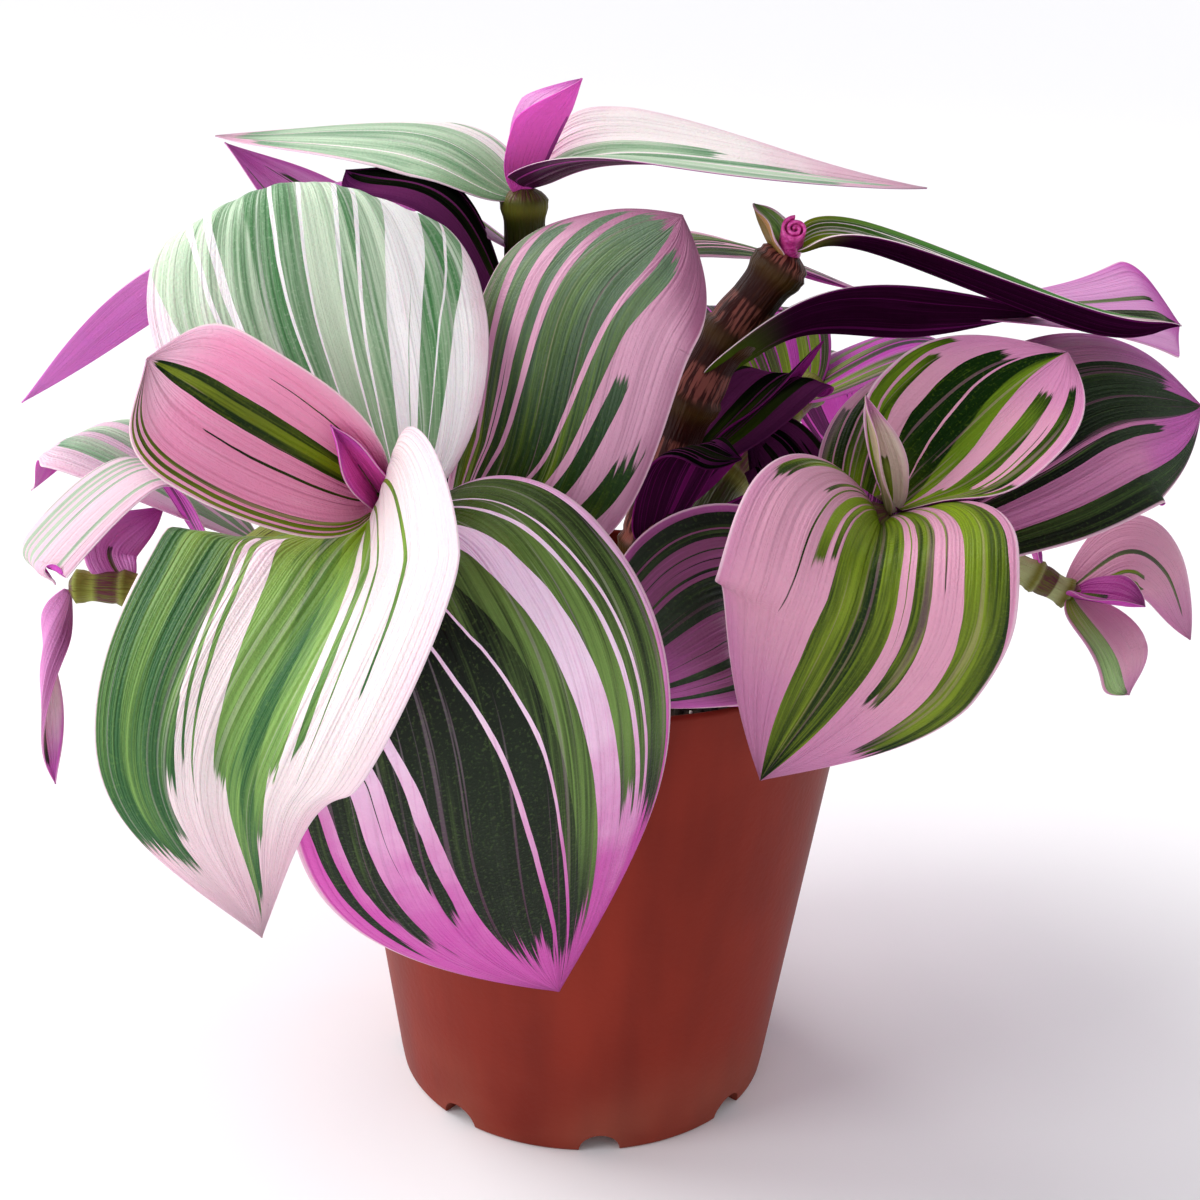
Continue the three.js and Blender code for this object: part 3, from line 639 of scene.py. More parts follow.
def blade_sheet(stem, at, width, via, tip, heading, roll, fold, cup, belly, rounding, taper, skew, cells):
    """The leaf's middle sheet over share s of the midrib and v from -1 at one margin to 1 at the other.

    The midrib runs from the stem through via to the tip. The half width is width / 2 times an outline that rises to 1
    at the belly and falls to the tip. Each half leaves the midrib at the fold angle and bends on by the cup angle, so
    a point's way out is the chord of that arc, in the plane across the midrib, which roll turns about it.
    """
    base = stem.point(at)
    along, across = cells
    way = np.linspace(0, 1, along)
    s = BLADE_START + (1 - BLADE_START) * (1 - (1 - way) ** 1.35)
    v = np.sin(np.linspace(-1, 1, across) * 1.45) / math.sin(1.45)
    point, tangent = curve_through([base, *via, tip], s)
    turn = math.atan2(tip[1] - base[1], tip[0] - base[0]) if heading is None else math.radians(heading)
    level = np.array((-math.sin(turn), math.cos(turn), 0.0))
    side = level - (tangent @ level)[:, None] * tangent
    side /= np.linalg.norm(side, axis=1, keepdims=True)
    over = np.cross(tangent, side)
    rolled = np.radians(blend(roll, s))[:, None]
    side, over = side * np.cos(rolled) + over * np.sin(rolled), over * np.cos(rolled) - side * np.sin(rolled)
    outline = np.where(
        s < belly,
        (1 - (1 - np.minimum(s / belly, 1)) ** 2) ** rounding,
        1 - (np.maximum(s - belly, 0) / (1 - belly)) ** taper,
    )
    half = np.maximum(width / 2 * outline, BLADE_TIP_WIDTH / 2)[:, None]
    out = np.abs(v)[None, :]
    bend = np.radians(blend(cup, s))[:, None] * out + 1e-9
    angle = np.radians(blend(fold, s))[:, None] + bend / 2
    reach = half * (1 + skew * np.sign(v)) * out * np.sin(bend / 2) / (bend / 2)
    sideways = (reach * np.cos(angle) * np.sign(v))[..., None]
    upward = (reach * np.sin(angle))[..., None]
    return point[:, None] + side[:, None] * sideways + over[:, None] * upward, s, v, half


def blade_skin(sheet, s, v, half, pleats, pleat_depth, wave, seed):
    """A closed blade round the middle sheet. The sheet is moved along its normal by low pleats that run with the
    veins, a groove at the midrib and a slow wave at the margins; the faces lie half the thickness either side of it,
    and the thickness is even nearly to the margins, where it falls to nothing in a round edge."""
    normal = np.cross(np.gradient(sheet, axis=0), np.gradient(sheet, axis=1))
    normal /= np.linalg.norm(normal, axis=2, keepdims=True)
    out = np.abs(v)[None, :]
    size = half / half.max()
    ends = np.sqrt(np.clip(s / 0.15, 0, 1) * np.clip((1 - s) / 0.12, 0, 1))[:, None]
    pleat = pleat_depth * np.cos(out * pleats * np.pi) * (1 - out ** 4) * size * ends
    groove = -GROOVE_DEPTH * np.exp(-(out * half / GROOVE_WIDTH) ** 2) * ends * np.clip(half / 6, 0, 1)
    phase = seed * 1.7 + np.sign(v)[None, :] * 1.1
    ripple = wave * np.sin(2 * np.pi * MARGIN_WAVES * s[:, None] + phase) * out ** 3 * ends
    moved = sheet + normal * (pleat + groove + ripple)[..., None]
    thick = BLADE_THICKNESS / 2 * np.sqrt(np.clip(1 - out ** 8, 0, 1)) * np.clip(0.35 + size, 0, 1)
    top = moved + normal * thick[..., None]
    under = moved - normal * thick[..., None]
    return np.concatenate((top, under[:, -2:0:-1]), 1)


def comb(stripes, first):
    """Stops of a ramp for the stripes from the first on: red is how far along the blade green reaches, over
    GREEN_REACH, and green how deep its tone is. A stripe is (from, to, reach, depth), with from and to as shares of
    the blade's width. Its sides lean, so that it ends in a point, and nothing pale lies between two that touch."""
    stops = []
    for number in range(first, min(first + RAMP_STRIPES, len(stripes))):
        left, right, far, deep = stripes[number]
        lean = min(STRIPE_LEAN * (right - left), STRIPE_LEAN_MOST)
        full = (far / GREEN_REACH, deep, 0, 1)
        if number == 0 or stripes[number - 1][1] < left:
            stops.append((left, (0, deep, 0, 1)))
        stops += [(left + lean, full), (right - lean, full)]
        if number + 1 == len(stripes) or right < stripes[number + 1][0]:
            stops.append((right, (0, deep, 0, 1)))
    return stops


def leaf_material(name, stripes, veins, seed, tissue, ragged, lined, drift, spread):
    """Leaf tissue seen from both sides. Green runs from the base along the veins as far as the comb of stripes says,
    with ragged ends; between is white to pink tissue without green, which blushes towards the tip and the margins.
    The underside is plum under the green and magenta elsewhere."""
    material, shade = new_material(
        name, Specular_IOR_Level=tissue["shine"], Subsurface_Weight=0.15, Subsurface_Radius=(1, 0.35, 0.55),
        Subsurface_Scale=0.001,
    )
    across = attribute(shade, "across")
    along = attribute(shade, "along")
    under = attribute(shade, "under")
    out = shade.math("ABSOLUTE", across)

    def with_veins(fine, length, offset):
        """Noise drawn out along the veins: fine lumps to a vein's width, and length lumps along the blade."""
        sockets = {"X": across * (veins * fine), "Y": along * length, "Z": seed + offset}
        way = shade.node("ShaderNodeCombineXYZ", None, sockets)
        return shade.node("ShaderNodeTexNoise", None, {"Vector": way, "Scale": 1.0, "Detail": 2.0})

    wobble = with_veins(0.15, 5, 0)
    streak = with_veins(1.0, 2.5, 10)
    fine = with_veins(2.6, 5, 20)
    hair = with_veins(0.9, 0.9, 30)
    broad = with_veins(0.3, 1.2, 50)
    upward = along - 0.5
    slant = (upward * drift[0] + upward * upward * drift[1]) * (1 - out * out) + upward * across * (0.5 * spread)
    place = across * 0.5 + 0.5 + (wobble - 0.5) * 0.018 - slant
    parts = shade.node("ShaderNodeValToRGB", {"stops": comb(stripes, 0)}, {"Fac": place})
    for first in range(RAMP_STRIPES, len(stripes), RAMP_STRIPES):
        ramp = shade.node("ShaderNodeValToRGB", {"stops": comb(stripes, first)}, {"Fac": place})
        parts = shade.math("GREATER_THAN", place, stripes[first][0]).mix(parts, ramp)
    reach = shade.node("ShaderNodeSeparateColor", None, {"Color": parts}, output="Red")
    depth = shade.node("ShaderNodeSeparateColor", None, {"Color": parts}, output="Green")
    left_over = reach * GREEN_REACH + (streak - 0.5) * (2 * ragged) + (fine - 0.5) * ragged - along
    green = left_over.rise(-0.008, 0.012) * (reach - 0.03).rise(0.0, 0.05)
    green = green * (1 - hair.rise(0.60, 0.64) * lined)

    deep = depth + (fine - 0.5) * 0.8 + (streak - 0.5) * 0.8 + (broad - 0.5) * 1.3 + left_over.rise(0.12, 0.0) * 0.35
    leafy = deep.rise(0.0, 1.0).mix(colour(tissue["light"]), colour(tissue["deep"]))
    sappy = along.rise(0.5, 0.05) * (1.2 - deep.rise(0.2, 1.0)) * tissue["sap"]
    leafy = sappy.mix(leafy, colour(tissue["olive"]))
    cloud = place_noise(shade, 120, 3)
    cells = place_noise(shade, 2200, 1)
    # Painted sheen: a pale grey-green mixed in towards the tip, in broad soft patches, stands for the sky's reflection
    # on the glossy leaf.
    painted_sheen_share = along.rise(0.35, 0.75) * (broad * 0.5 + cloud * 0.5) * tissue["painted_sheen_share"]
    leafy = painted_sheen_share.mix(leafy, colour(tissue["painted_sheen_tint"]))
    # Painted glints: fine spots of the light green, from the noise that also gives the cells' real bumps, stand for
    # light sparkling on the cells.
    leafy = (cells.rise(0.55, 0.75) * 0.15).mix(leafy, colour(tissue["light"]))
    blushed = along.rise(tissue["blush_from"], 1.0) + out.rise(0.72, 1.05) * 0.6 + (cloud - 0.5) * 0.5
    rosy = blushed.rise(0.0, 1.0).mix(colour(tissue["pale"]), colour(tissue["blush"]))
    rosy = (fine.rise(0.52, 0.7) * 0.22).mix(rosy, colour(tissue["blush"]))
    upper = green.mix(rosy, leafy)
    upper = out.rise(0.972, 0.99).mix(upper, colour(tissue["margin"]))

    lower = (green * 0.85 + (fine - 0.5) * 0.3).rise(0.0, 1.0).mix(colour(tissue["magenta"]), colour(tissue["plum"]))
    lower = (fine.rise(0.5, 0.7) * 0.25).mix(lower, colour(tissue["magenta"]))
    lower = (along.rise(0.3, 0.08) * tissue["foot"]).mix(lower, colour(tissue["olive"]))

    ribs = with_veins(1.3, 0.8, 40)
    feed(
        material,
        Base_Color=under.mix(upper, lower),
        Roughness=tissue["roughness"] + (fine - 0.5) * 0.16 + under * 0.15,
        Normal=bump(shade, ribs + cells * 0.25, 0.0005),
    )
    return material


SUNLIT = {
    "light": "#8cb450", "deep": "#24582a", "olive": "#7f9c14", "sap": 0.95, "pale": "#fbf0ee", "blush": "#e9b3cb",
    "blush_from": 0.6, "margin": "#f0d6e0", "magenta": "#cf4fbc", "plum": "#43163c", "roughness": 0.38, "shine": 0.12,
    "painted_sheen_tint": "#8fb089", "painted_sheen_share": 0.2, "foot": 0,
}
# SILVER_SHEEN: grey-green tissue whose pale greens and strong sheen tint are partly the leaves' own grey-green and
# partly painted sheen.
SILVER_SHEEN = SUNLIT | {
    "light": "#c3dabb", "deep": "#4c8558", "olive": "#4f8a3c", "sap": 0.5, "roughness": 0.32, "painted_sheen_tint": "#bcd0bc",
    "painted_sheen_share": 0.3,
}
ROSY = SUNLIT | {
    "light": "#64801c", "deep": "#0d2405", "olive": "#7a9410", "pale": "#cf94ac", "blush": "#c47fa8", "sap": 0.8,
    "margin": "#d9b3c4", "painted_sheen_share": 0,
}
# DUSKY: its near-black green is partly the leaves' own dark green and partly painted shade, as on the low front leaf
# lying under the leaf above.
DUSKY = ROSY | {
    "light": "#5c7c34", "deep": "#090f07", "olive": "#3c5010", "pale": "#ffdcf2", "blush": "#c564b2",
    "painted_sheen_tint": "#6f8a66", "painted_sheen_share": 0.3,
}
BLUSHING = ROSY | {"light": "#6d7c1c", "pale": "#e893b8", "blush": "#e6b4cb", "margin": "#efd0d6"}
LILAC = ROSY | {"pale": "#dd9bd0", "blush": "#c45cb4", "magenta": "#e858d0", "light": "#7f8a60", "plum": "#a43294"}
DEEP_GREEN = SUNLIT | {
    "light": "#5f9448", "deep": "#205422", "olive": "#86961c", "plum": "#26051f", "magenta": "#5a1450", "shine": 0.0,
    "foot": 0.5,
}
# MAGENTA_IN_SHADE: the back leaves' own magenta, made darker, with their greens painted near-black as painted shade.
MAGENTA_IN_SHADE = LILAC | {"light": "#3c2036", "deep": "#1c0c1a", "pale": "#a8389a", "blush": "#94307f", "margin": "#b04aa2"}
# SHADED: dark purple and near-black tissue for the leaves inside the plant, painted shade where little light reaches
# them.
SHADED = DUSKY | {
    "light": "#1c2212", "deep": "#060805", "pale": "#5c2450", "blush": "#3e123a", "margin": "#5a2450", "painted_sheen_share": 0,
    "shine": 0.0, "magenta": "#8a2478",
}


def random_stripes(seed):
    """Stripes for a leaf that the front view hides. The width is cut in ten to fourteen strips of uneven width, and
    about two in three of them are green, each with its own reach and depth."""
    draw = np.random.default_rng(seed)
    widths = draw.uniform(0.3, 1.6, draw.integers(10, 15))
    edges = 0.02 + 0.96 * np.concatenate(([0], np.cumsum(widths))) / widths.sum()
    stripes = []
    for left, right in zip(edges, edges[1:]):
        if draw.uniform() < 0.66:
            reach, depth = draw.uniform((0.5, 0.25), (1.05, 0.95))
            stripes.append((float(left), float(right) - 0.008, float(reach), float(depth)))
    return stripes


leaf_numbers = itertools.count(1)


def grow_leaf(stem, name, at, width, tip, via=(), heading=None, roll=(0, 0), fold=(0, 0), cup=(0, 0), belly=0.5,
              rounding=0.6, taper=2.0, skew=0.0, stripes=None, tissue=ROSY, ragged=0.05, lined=0.2, drift=(0, 0),
              spread=0.0, wave=0.35):
    """Grows one leaf from its stem, over the CAD leaf of the same name. Its mesh has CELLS_ALONG and CELLS_ACROSS
    cells to a millimetre, within limits, and its place in the order of growth seeds what is random in it."""
    seed = next(leaf_numbers)
    length = path_length(np.array([stem.point(at), *via, tip]))
    rows = int(np.clip(length * CELLS_ALONG, 30, 110))
    columns = int(np.clip(width * CELLS_ACROSS, 21, 71)) // 2 * 2 + 1
    sheet, s, v, half = blade_sheet(
        stem, at, width, via, tip, heading, roll, fold, cup, belly, rounding, taper, skew, (rows, columns),
    )
    pleats = max(2, round(width / PLEAT_WIDTH))
    rings = blade_skin(sheet, s, v, half, pleats, PLEAT_DEPTH * min(1, width / 25), wave, seed)
    points, faces = closed_skin(rings)
    count = rings.shape[1]
    side = np.concatenate((v, v[-2:0:-1]))
    across = np.concatenate((np.tile(side, len(s)), [0, 0]))
    along = np.concatenate((np.repeat(s, count), [s[0], s[-1]]))
    step = np.arange(count)
    below = (step >= len(v) - 1).astype(float)
    under = np.concatenate((np.tile(below, len(s) - 1), below, below))
    material = leaf_material(
        f"leaf_{name}_tissue", stripes or random_stripes(seed), max(5, width / VEIN_GAP), seed * 3.7, tissue,
        ragged, lined, drift, spread,
    )
    piece = mesh_piece(f"{name}_blade", points, faces, material, {"across": across, "along": along, "under": under})
    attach(piece, "root")
    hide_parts(f"leaf_{name}")


front = grow_stem(
    "front", [(-10, -11, 50), (-12, -14, 76), (-17, -28, 97), (-23, -42, 111), (-29, -54, 121)],
    radius=(4.5, 3.2), nodes=[0.12, 0.45, 0.8, 0.95],
)
grow_leaf(
    front, "front_high", at=0.86, width=47, heading=106, via=[(-35, -44, 141), (-41, -32, 159)], tip=(-48, -4, 147),
    fold=(12, -10), cup=(-10, -50), belly=0.42, taper=1.6, skew=0.06, lined=0.25, drift=(-0.15, 0), spread=1.5,
    # Its very pale green is partly its own grey-green and partly painted sheen.
    tissue=SILVER_SHEEN | {"pale": "#fffdfa", "light": "#d9ecd0", "deep": "#4d8650", "painted_sheen_share": 0.15},
    stripes=[
        (0.0, 0.065, 0.97, 0.6), (0.073, 0.155, 0.97, 0.75), (0.2, 0.208, 0.42, 0.6), (0.29, 0.38, 0.95, 0.45),
        (0.39, 0.44, 0.95, 0.6), (0.45, 0.55, 0.97, 0.15), (0.556, 0.625, 0.97, 0.7), (0.632, 0.70, 0.97, 0.9),
        (0.70, 0.79, 0.96, 0.5), (0.81, 0.845, 0.96, 0.3), (0.858, 0.99, 0.97, 0.15),
    ],
)
grow_leaf(
    front, "front_cupped", at=1.0, width=25, via=[(-45, -64, 134)], tip=(-57, -62, 141), roll=(-80, -75),
    fold=(10, 0), cup=(50, 50), rounding=0.5, taper=2.8, skew=0.1, tissue=BLUSHING,
    stripes=[
        (0.19, 0.205, 0.5, 0.9), (0.375, 0.43, 0.97, 0.9), (0.43, 0.49, 0.97, 0.3), (0.49, 0.54, 0.95, 0.9),
        (0.63, 0.65, 0.6, 0.9), (0.87, 0.9, 1.0, 0.4), (0.915, 0.945, 1.0, 0.6), (0.96, 0.985, 1.0, 0.4),
    ],
)
grow_leaf(
    front, "front_left", at=0.94, width=49.5, heading=294, via=[(-33, -67, 114), (-44, -87, 96)],
    tip=(-42, -80, 68.5), roll=(57, 4), fold=(35, -1.5), cup=(-7.5, -20), belly=0.36, rounding=0.61, taper=1.35,
    skew=-0.04, lined=0.15, ragged=0.06, drift=(0.4, 0),
    tissue=SUNLIT | {"light": "#84ab56", "pale": "#f2e2e3", "blush": "#f0c8d6"},
    stripes=[
        (0.0, 0.08, 0.80, 0.9), (0.08, 0.15, 0.83, 0.55), (0.15, 0.20, 0.78, 0.8), (0.20, 0.25, 0.7, 0.6),
        (0.25, 0.258, 0.6, 0.4), (0.258, 0.268, 0.3, 0.35), (0.268, 0.282, 0.66, 0.4), (0.282, 0.304, 0.27, 0.3),
        (0.304, 0.318, 0.7, 0.3), (0.318, 0.385, 0.24, 0.2), (0.385, 0.44, 0.68, 0.15), (0.44, 0.50, 0.97, 0.4),
        (0.50, 0.57, 0.92, 0.75), (0.57, 0.62, 0.8, 0.3), (0.62, 0.66, 0.66, 0.1), (0.685, 0.72, 0.6, 0.4),
        (0.745, 0.757, 0.66, 0.5), (0.84, 0.857, 0.52, 0.5),
    ],
)
grow_leaf(
    front, "front_low", at=0.8, width=55, heading=301, via=[(-15.5, -63, 113.5), (-6.5, -67.5, 93)],
    tip=(-3.5, -53.5, 44.5), roll=(27, 0), fold=(19, -7), cup=(-16, -23), belly=0.7, rounding=0.35, taper=3.2,
    skew=-0.26, lined=0.12, ragged=0.08, drift=(0.32, 0),
    tissue=DUSKY | {"light": "#76964a", "pale": "#ffe0f6", "blush": "#cc56ae", "blush_from": 0.5, "painted_sheen_share": 0.12},
    stripes=[
        (0.02, 0.045, 0.9, 0.9), (0.055, 0.10, 0.9, 0.9), (0.12, 0.13, 0.82, 0.9), (0.145, 0.183, 0.86, 0.95),
        (0.2, 0.36, 0.94, 1.1), (0.364, 0.44, 0.97, 1.15), (0.443, 0.5, 0.95, 0.7), (0.5, 0.6, 0.92, 0.4),
        (0.705, 0.80, 0.8, 0.25), (0.812, 0.85, 0.8, 0.3), (0.856, 0.975, 0.83, 0.45),
    ],
)
# Its pale is dimmer and its blush a dark mauve: painted shade for the side that turns away from the window, over its
# own pink.
grow_leaf(
    front, "front_right", at=0.45, width=34, heading=70, via=[(-8, -42.5, 121), (-1.5, -37, 145)], tip=(11, -30, 156),
    roll=(-1, 3), fold=(5, 0), cup=(-20, -38), belly=0.68, taper=3.7, skew=0.06, ragged=0.06,
    drift=(-0.45, 1.0), spread=0.8,
    tissue=ROSY | {"deep": "#133210", "pale": "#cd99b2", "painted_sheen_tint": "#8fa88c", "painted_sheen_share": 0.7, "blush": "#965a7a"},
    stripes=[
        (0.01, 0.12, 0.42, 0.9), (0.215, 0.30, 0.53, 1.0), (0.345, 0.43, 0.9, 0.7), (0.45, 0.55, 0.95, 1.0),
        (0.55, 0.67, 0.95, 0.85), (0.695, 0.745, 0.92, 0.9), (0.763, 0.773, 0.55, 0.9), (0.785, 0.85, 0.8, 0.8),
        (0.87, 0.99, 0.88, 0.7),
    ],
)
grow_leaf(
    front, "front_young", at=0.98, width=9, heading=120, tip=(-34, -62, 133), fold=(60, 50),
    belly=0.4, rounding=0.5, taper=1.6, stripes=[(0.47, 0.53, 0.5, 0.5)],
    tissue=LILAC | {"pale": "#cf4aa2", "blush": "#b23c9a"},
)

# ---- Right shoot: a shorter stem that leans over the pot's right rim, with a rosette seen from the front.
# Its leaves clasp it close together, dusky pink with olive stripes, and a lower one lies on the rim.
right = grow_stem(
    "right", [(14, -9, 50), (18, -12, 76), (28, -20, 92), (37, -28, 105), (43, -35, 115)],
    radius=(4.2, 3.0), nodes=[0.3, 0.6, 0.93],
)
grow_leaf(
    right, "right_low", at=0.93, width=40, heading=257, via=[(37, -59, 116), (34, -60.5, 104)], tip=(24, -59, 83),
    roll=(-14, 2), fold=(52, -11), cup=(-23, -21), belly=0.48, rounding=0.4, taper=2.6, lined=0.15, spread=0.25,
    tissue=ROSY | {"light": "#768a22"},
    stripes=[
        (0.0, 0.07, 0.28, 0.5), (0.19, 0.22, 0.25, 0.6), (0.24, 0.248, 0.7, 0.8), (0.28, 0.33, 0.42, 0.4),
        (0.337, 0.365, 0.4, 0.5), (0.37, 0.5, 1.02, 0.5), (0.5, 0.55, 1.02, 0.9), (0.55, 0.62, 1.02, 0.55),
        (0.64, 0.648, 0.65, 0.5), (0.665, 0.73, 0.76, 0.5), (0.765, 0.78, 0.42, 0.5), (0.83, 0.91, 0.85, 0.35),
        (0.91, 0.985, 0.86, 0.7),
    ],
)
grow_leaf(
    right, "right_high", at=1.0, width=32.5, via=[(53, -30, 121.5)], tip=(69, -22.5, 136.5), roll=(17, 23),
    fold=(22, 6), cup=(24, 10), belly=0.6, rounding=0.64, taper=2.9, skew=0.1, drift=(0.2, 0),
    tissue=ROSY | {"shine": 0.03},
    stripes=[
        (0.0, 0.05, 0.5, 0.3), (0.05, 0.07, 0.36, 0.3), (0.07, 0.14, 0.9, 0.6), (0.14, 0.165, 0.4, 0.2),
        (0.165, 0.175, 0.75, 0.7), (0.175, 0.24, 0.38, 0.2), (0.24, 0.36, 0.85, 0.55), (0.36, 0.42, 0.3, 0.3),
        (0.48, 0.56, 1.0, 0.3), (0.56, 0.65, 1.0, 1.0), (0.656, 0.79, 0.88, 1.0), (0.87, 0.925, 0.75, 0.5),
        (0.932, 0.985, 0.82, 0.5),
    ],
)
grow_leaf(
    right, "right_outer", at=0.6, width=41, via=[(63.5, -16, 117), (79, -9.5, 125)], tip=(94.5, -8.5, 125.5),
    roll=(27, 28), fold=(5, -2), cup=(-10, -18), belly=0.55, rounding=0.76, taper=4.5, skew=0.04,
    tissue=DUSKY | {"pale": "#cf86b0"},
    stripes=[(0.0, 0.145, 0.97, 0.9), (0.31, 0.37, 0.85, 1.0), (0.385, 0.6, 1.0, 1.1), (0.6, 0.75, 0.9, 1.0)],
)
grow_leaf(right, "right_back", at=0.8, width=25, via=[(48, -10, 121)], tip=(55, 4, 130), fold=(5, 0), cup=(-10, -20))
grow_leaf(
    right, "right_young", at=0.98, width=9, heading=120, tip=(38, -34, 132), fold=(65, 50),
    belly=0.4, rounding=0.5, taper=1.6, stripes=[(0.3, 0.7, 0.5, 0.3)],
    tissue=ROSY | {"light": "#8f9a4a", "pale": "#d9c4b8", "magenta": "#b3a183", "plum": "#7d8446"},
)
grow_leaf(
    right, "rim", at=0.3, width=30, heading=190, via=[(18, -42, 102)], tip=(1, -50, 91), roll=(-70, -70),
    fold=(5, 0), cup=(-10, -20), taper=2.2, tissue=DUSKY | {"pale": "#8a4f72"},
    stripes=[
        (0.04, 0.12, 0.95, 1.0), (0.125, 0.17, 0.9, 0.9), (0.215, 0.225, 0.9, 1.0), (0.26, 0.267, 0.8, 1.0),
        (0.3, 0.32, 0.9, 1.0), (0.34, 0.52, 1.0, 1.0), (0.66, 0.67, 0.9, 0.9), (0.74, 0.79, 0.9, 1.0),
        (0.82, 0.83, 0.9, 0.9), (0.87, 0.91, 0.9, 0.9),
    ],
)
# The hidden inner leaves get the SHADED tissue, painted dark as painted shade.
HIDDEN = {"fold": (10, 0), "cup": (-10, -20), "tissue": SHADED}
grow_leaf(right, "inner_right", at=0.5, width=16, via=[(32, 2, 110)], tip=(25, 6, 117), **HIDDEN)

# ---- Top shoot: the tallest stem, with two long leaves held out level and a folded bud between them.
# Its tissue shows a painted silvery sheen above and is magenta beneath; the inner leaves are painted dark as painted
# shade.
top = grow_stem(
    "top", [(-3, 5, 50), (-4, 6, 76), (-9, 8, 105), (-12, 8, 130), (-13, 8, 154)],
    radius=(4.5, 3.2), nodes=[0.25, 0.55, 0.76, 0.96],
)
grow_leaf(
    top, "top_left", at=0.98, width=24, via=[(-30, 16, 161)], tip=(-65.5, 24, 159), roll=(-15, -11),
    fold=(-3, -6), cup=(-10, -10), belly=0.44, taper=1.9, tissue=SILVER_SHEEN,
    stripes=[
        (0.06, 0.12, 0.5, 0.3), (0.26, 0.5, 0.93, 0.3), (0.505, 0.66, 0.95, 0.5), (0.66, 0.82, 0.95, 0.35),
        (0.83, 0.98, 0.9, 0.5),
    ],
)
grow_leaf(
    top, "top_right", at=1.0, width=33, via=[(5, 2, 159.5)], tip=(51, 6, 156), roll=(9, 9),
    fold=(31, 7), cup=(3, -14), belly=0.46, taper=1.6, skew=-0.06, tissue=SILVER_SHEEN,
    stripes=[
        (0.0, 0.1, 0.85, 0.3), (0.12, 0.3, 0.93, 0.2), (0.32, 0.49, 0.9, 0.3), (0.5, 0.56, 0.8, 0.7),
        (0.565, 0.66, 0.66, 0.4), (0.78, 0.79, 0.4, 0.4),
    ],
)
grow_leaf(
    top, "top_young", at=0.97, width=18, heading=20, tip=(-4, 3.5, 171.5), roll=(-20, -20), fold=(58, 45),
    belly=0.6, taper=1.3, skew=0.05, stripes=[(0.47, 0.53, 0.7, 0.4)], tissue=LILAC | {"magenta": "#ff62da"},
)
# Its underside's magenta is brighter than the tissue's own: painted light for the window's glow shining through the
# thin leaf.
grow_leaf(
    top, "top_long", at=0.85, width=28, via=[(-37, 28, 150), (-77, 36, 133)], tip=(-106, 36, 109), roll=(15, 20),
    fold=(5, 0), cup=(-10, -20), belly=0.4, taper=1.6, tissue=LILAC | {"magenta": "#ff94f4"},
    stripes=[(0.3, 0.4, 0.5, 0.5)],
)
grow_leaf(
    top, "top_arched", at=0.6, width=31.5, via=[(-23, 2, 152)], tip=(-41.5, 8, 156), roll=(2, -5), fold=(3, 5.5),
    cup=(-21, -17), belly=0.55, rounding=0.57, taper=3.1, tissue=SHADED,
    stripes=[(0.05, 0.12, 0.95, 0.8), (0.15, 0.3, 0.95, 0.9), (0.36, 0.62, 1.0, 0.9), (0.68, 0.8, 0.95, 0.7)],
)
grow_leaf(
    top, "top_rear", at=0.8, width=30, via=[(15, 34, 143)], tip=(49, 44, 132),
    fold=(5, 0), cup=(-10, -20), belly=0.4, taper=1.8,
)
grow_leaf(
    top, "top_lower", at=0.55, width=30, via=[(-43, 48, 133.5)], tip=(-69.5, 50, 155), fold=(20, 10),
    belly=0.4, taper=1.8, tissue=LILAC,
)
grow_leaf(top, "top_inner", at=0.25, width=28, via=[(-28, 6, 108)], tip=(-52, 4, 98), belly=0.45, **HIDDEN)
grow_leaf(top, "top_inner_back", at=0.3, width=28, via=[(-6, 26, 114)], tip=(-2, 48, 104), belly=0.45, **HIDDEN)

# ---- Thick shoot: the oldest stem, brown and knobbly with striped dry sheaths, one long leaf reaching right,
# and the next leaf still rolled into a tight scroll in the cup at its tip.
thick = grow_stem(
    "thick", [(7, 0, 50), (8, 0, 76), (9, -2, 100), (16, -4, 126), (29, -4, 147)],
    radius=(4.3, 3.8), nodes=[0.3, 0.46, 0.62, 0.78, 0.95],
    green="#431d10", flush="#33110d", sheath=("#8a4e44", "#3a1210", "#4a3214"), flushed=0.9,
)
grow_leaf(
    thick, "thick_right", at=1.0, width=28, via=[(40.5, -3.5, 148), (77.5, 0, 135.5)], tip=(93, 2, 136),
    roll=(0, -7), fold=(11, 20), cup=(-2, -5), belly=0.43, taper=2.5, skew=0.05, tissue=DEEP_GREEN, lined=0.6,
    stripes=[
        (0.02, 0.14, 1.0, 0.6), (0.15, 0.3, 1.0, 0.5), (0.305, 0.48, 1.05, 0.7), (0.49, 0.66, 1.05, 0.55),
        (0.665, 0.8, 1.05, 0.7), (0.81, 0.98, 1.0, 0.6),
    ],
)
grow_leaf(
    thick, "thick_low", at=0.66, width=19, via=[(32.5, -4, 136), (53.5, 5, 135)], tip=(73, 13, 135),
    roll=(-35, -36), fold=(10, 8), cup=(-17, -16), belly=0.35, taper=2.5, skew=-0.25,
    tissue=DEEP_GREEN | {"foot": 0.9, "olive": "#4c6a10"},
    stripes=[(0.02, 0.2, 1.0, 0.6), (0.21, 0.5, 1.0, 0.9), (0.51, 0.75, 1.0, 0.8), (0.8, 0.97, 0.95, 0.6)],
)
grow_leaf(
    thick, "thick_rear", at=0.85, width=22, via=[(85.5, 19.5, 133.5)], tip=(101, 28, 131), roll=(0, 49),
    fold=(5, -1), belly=0.7, rounding=2.5, taper=1.9, skew=0.25, tissue=LILAC,
    stripes=[(0.42, 0.58, 0.97, 0.5), (0.66, 0.7, 0.8, 0.4)],
)
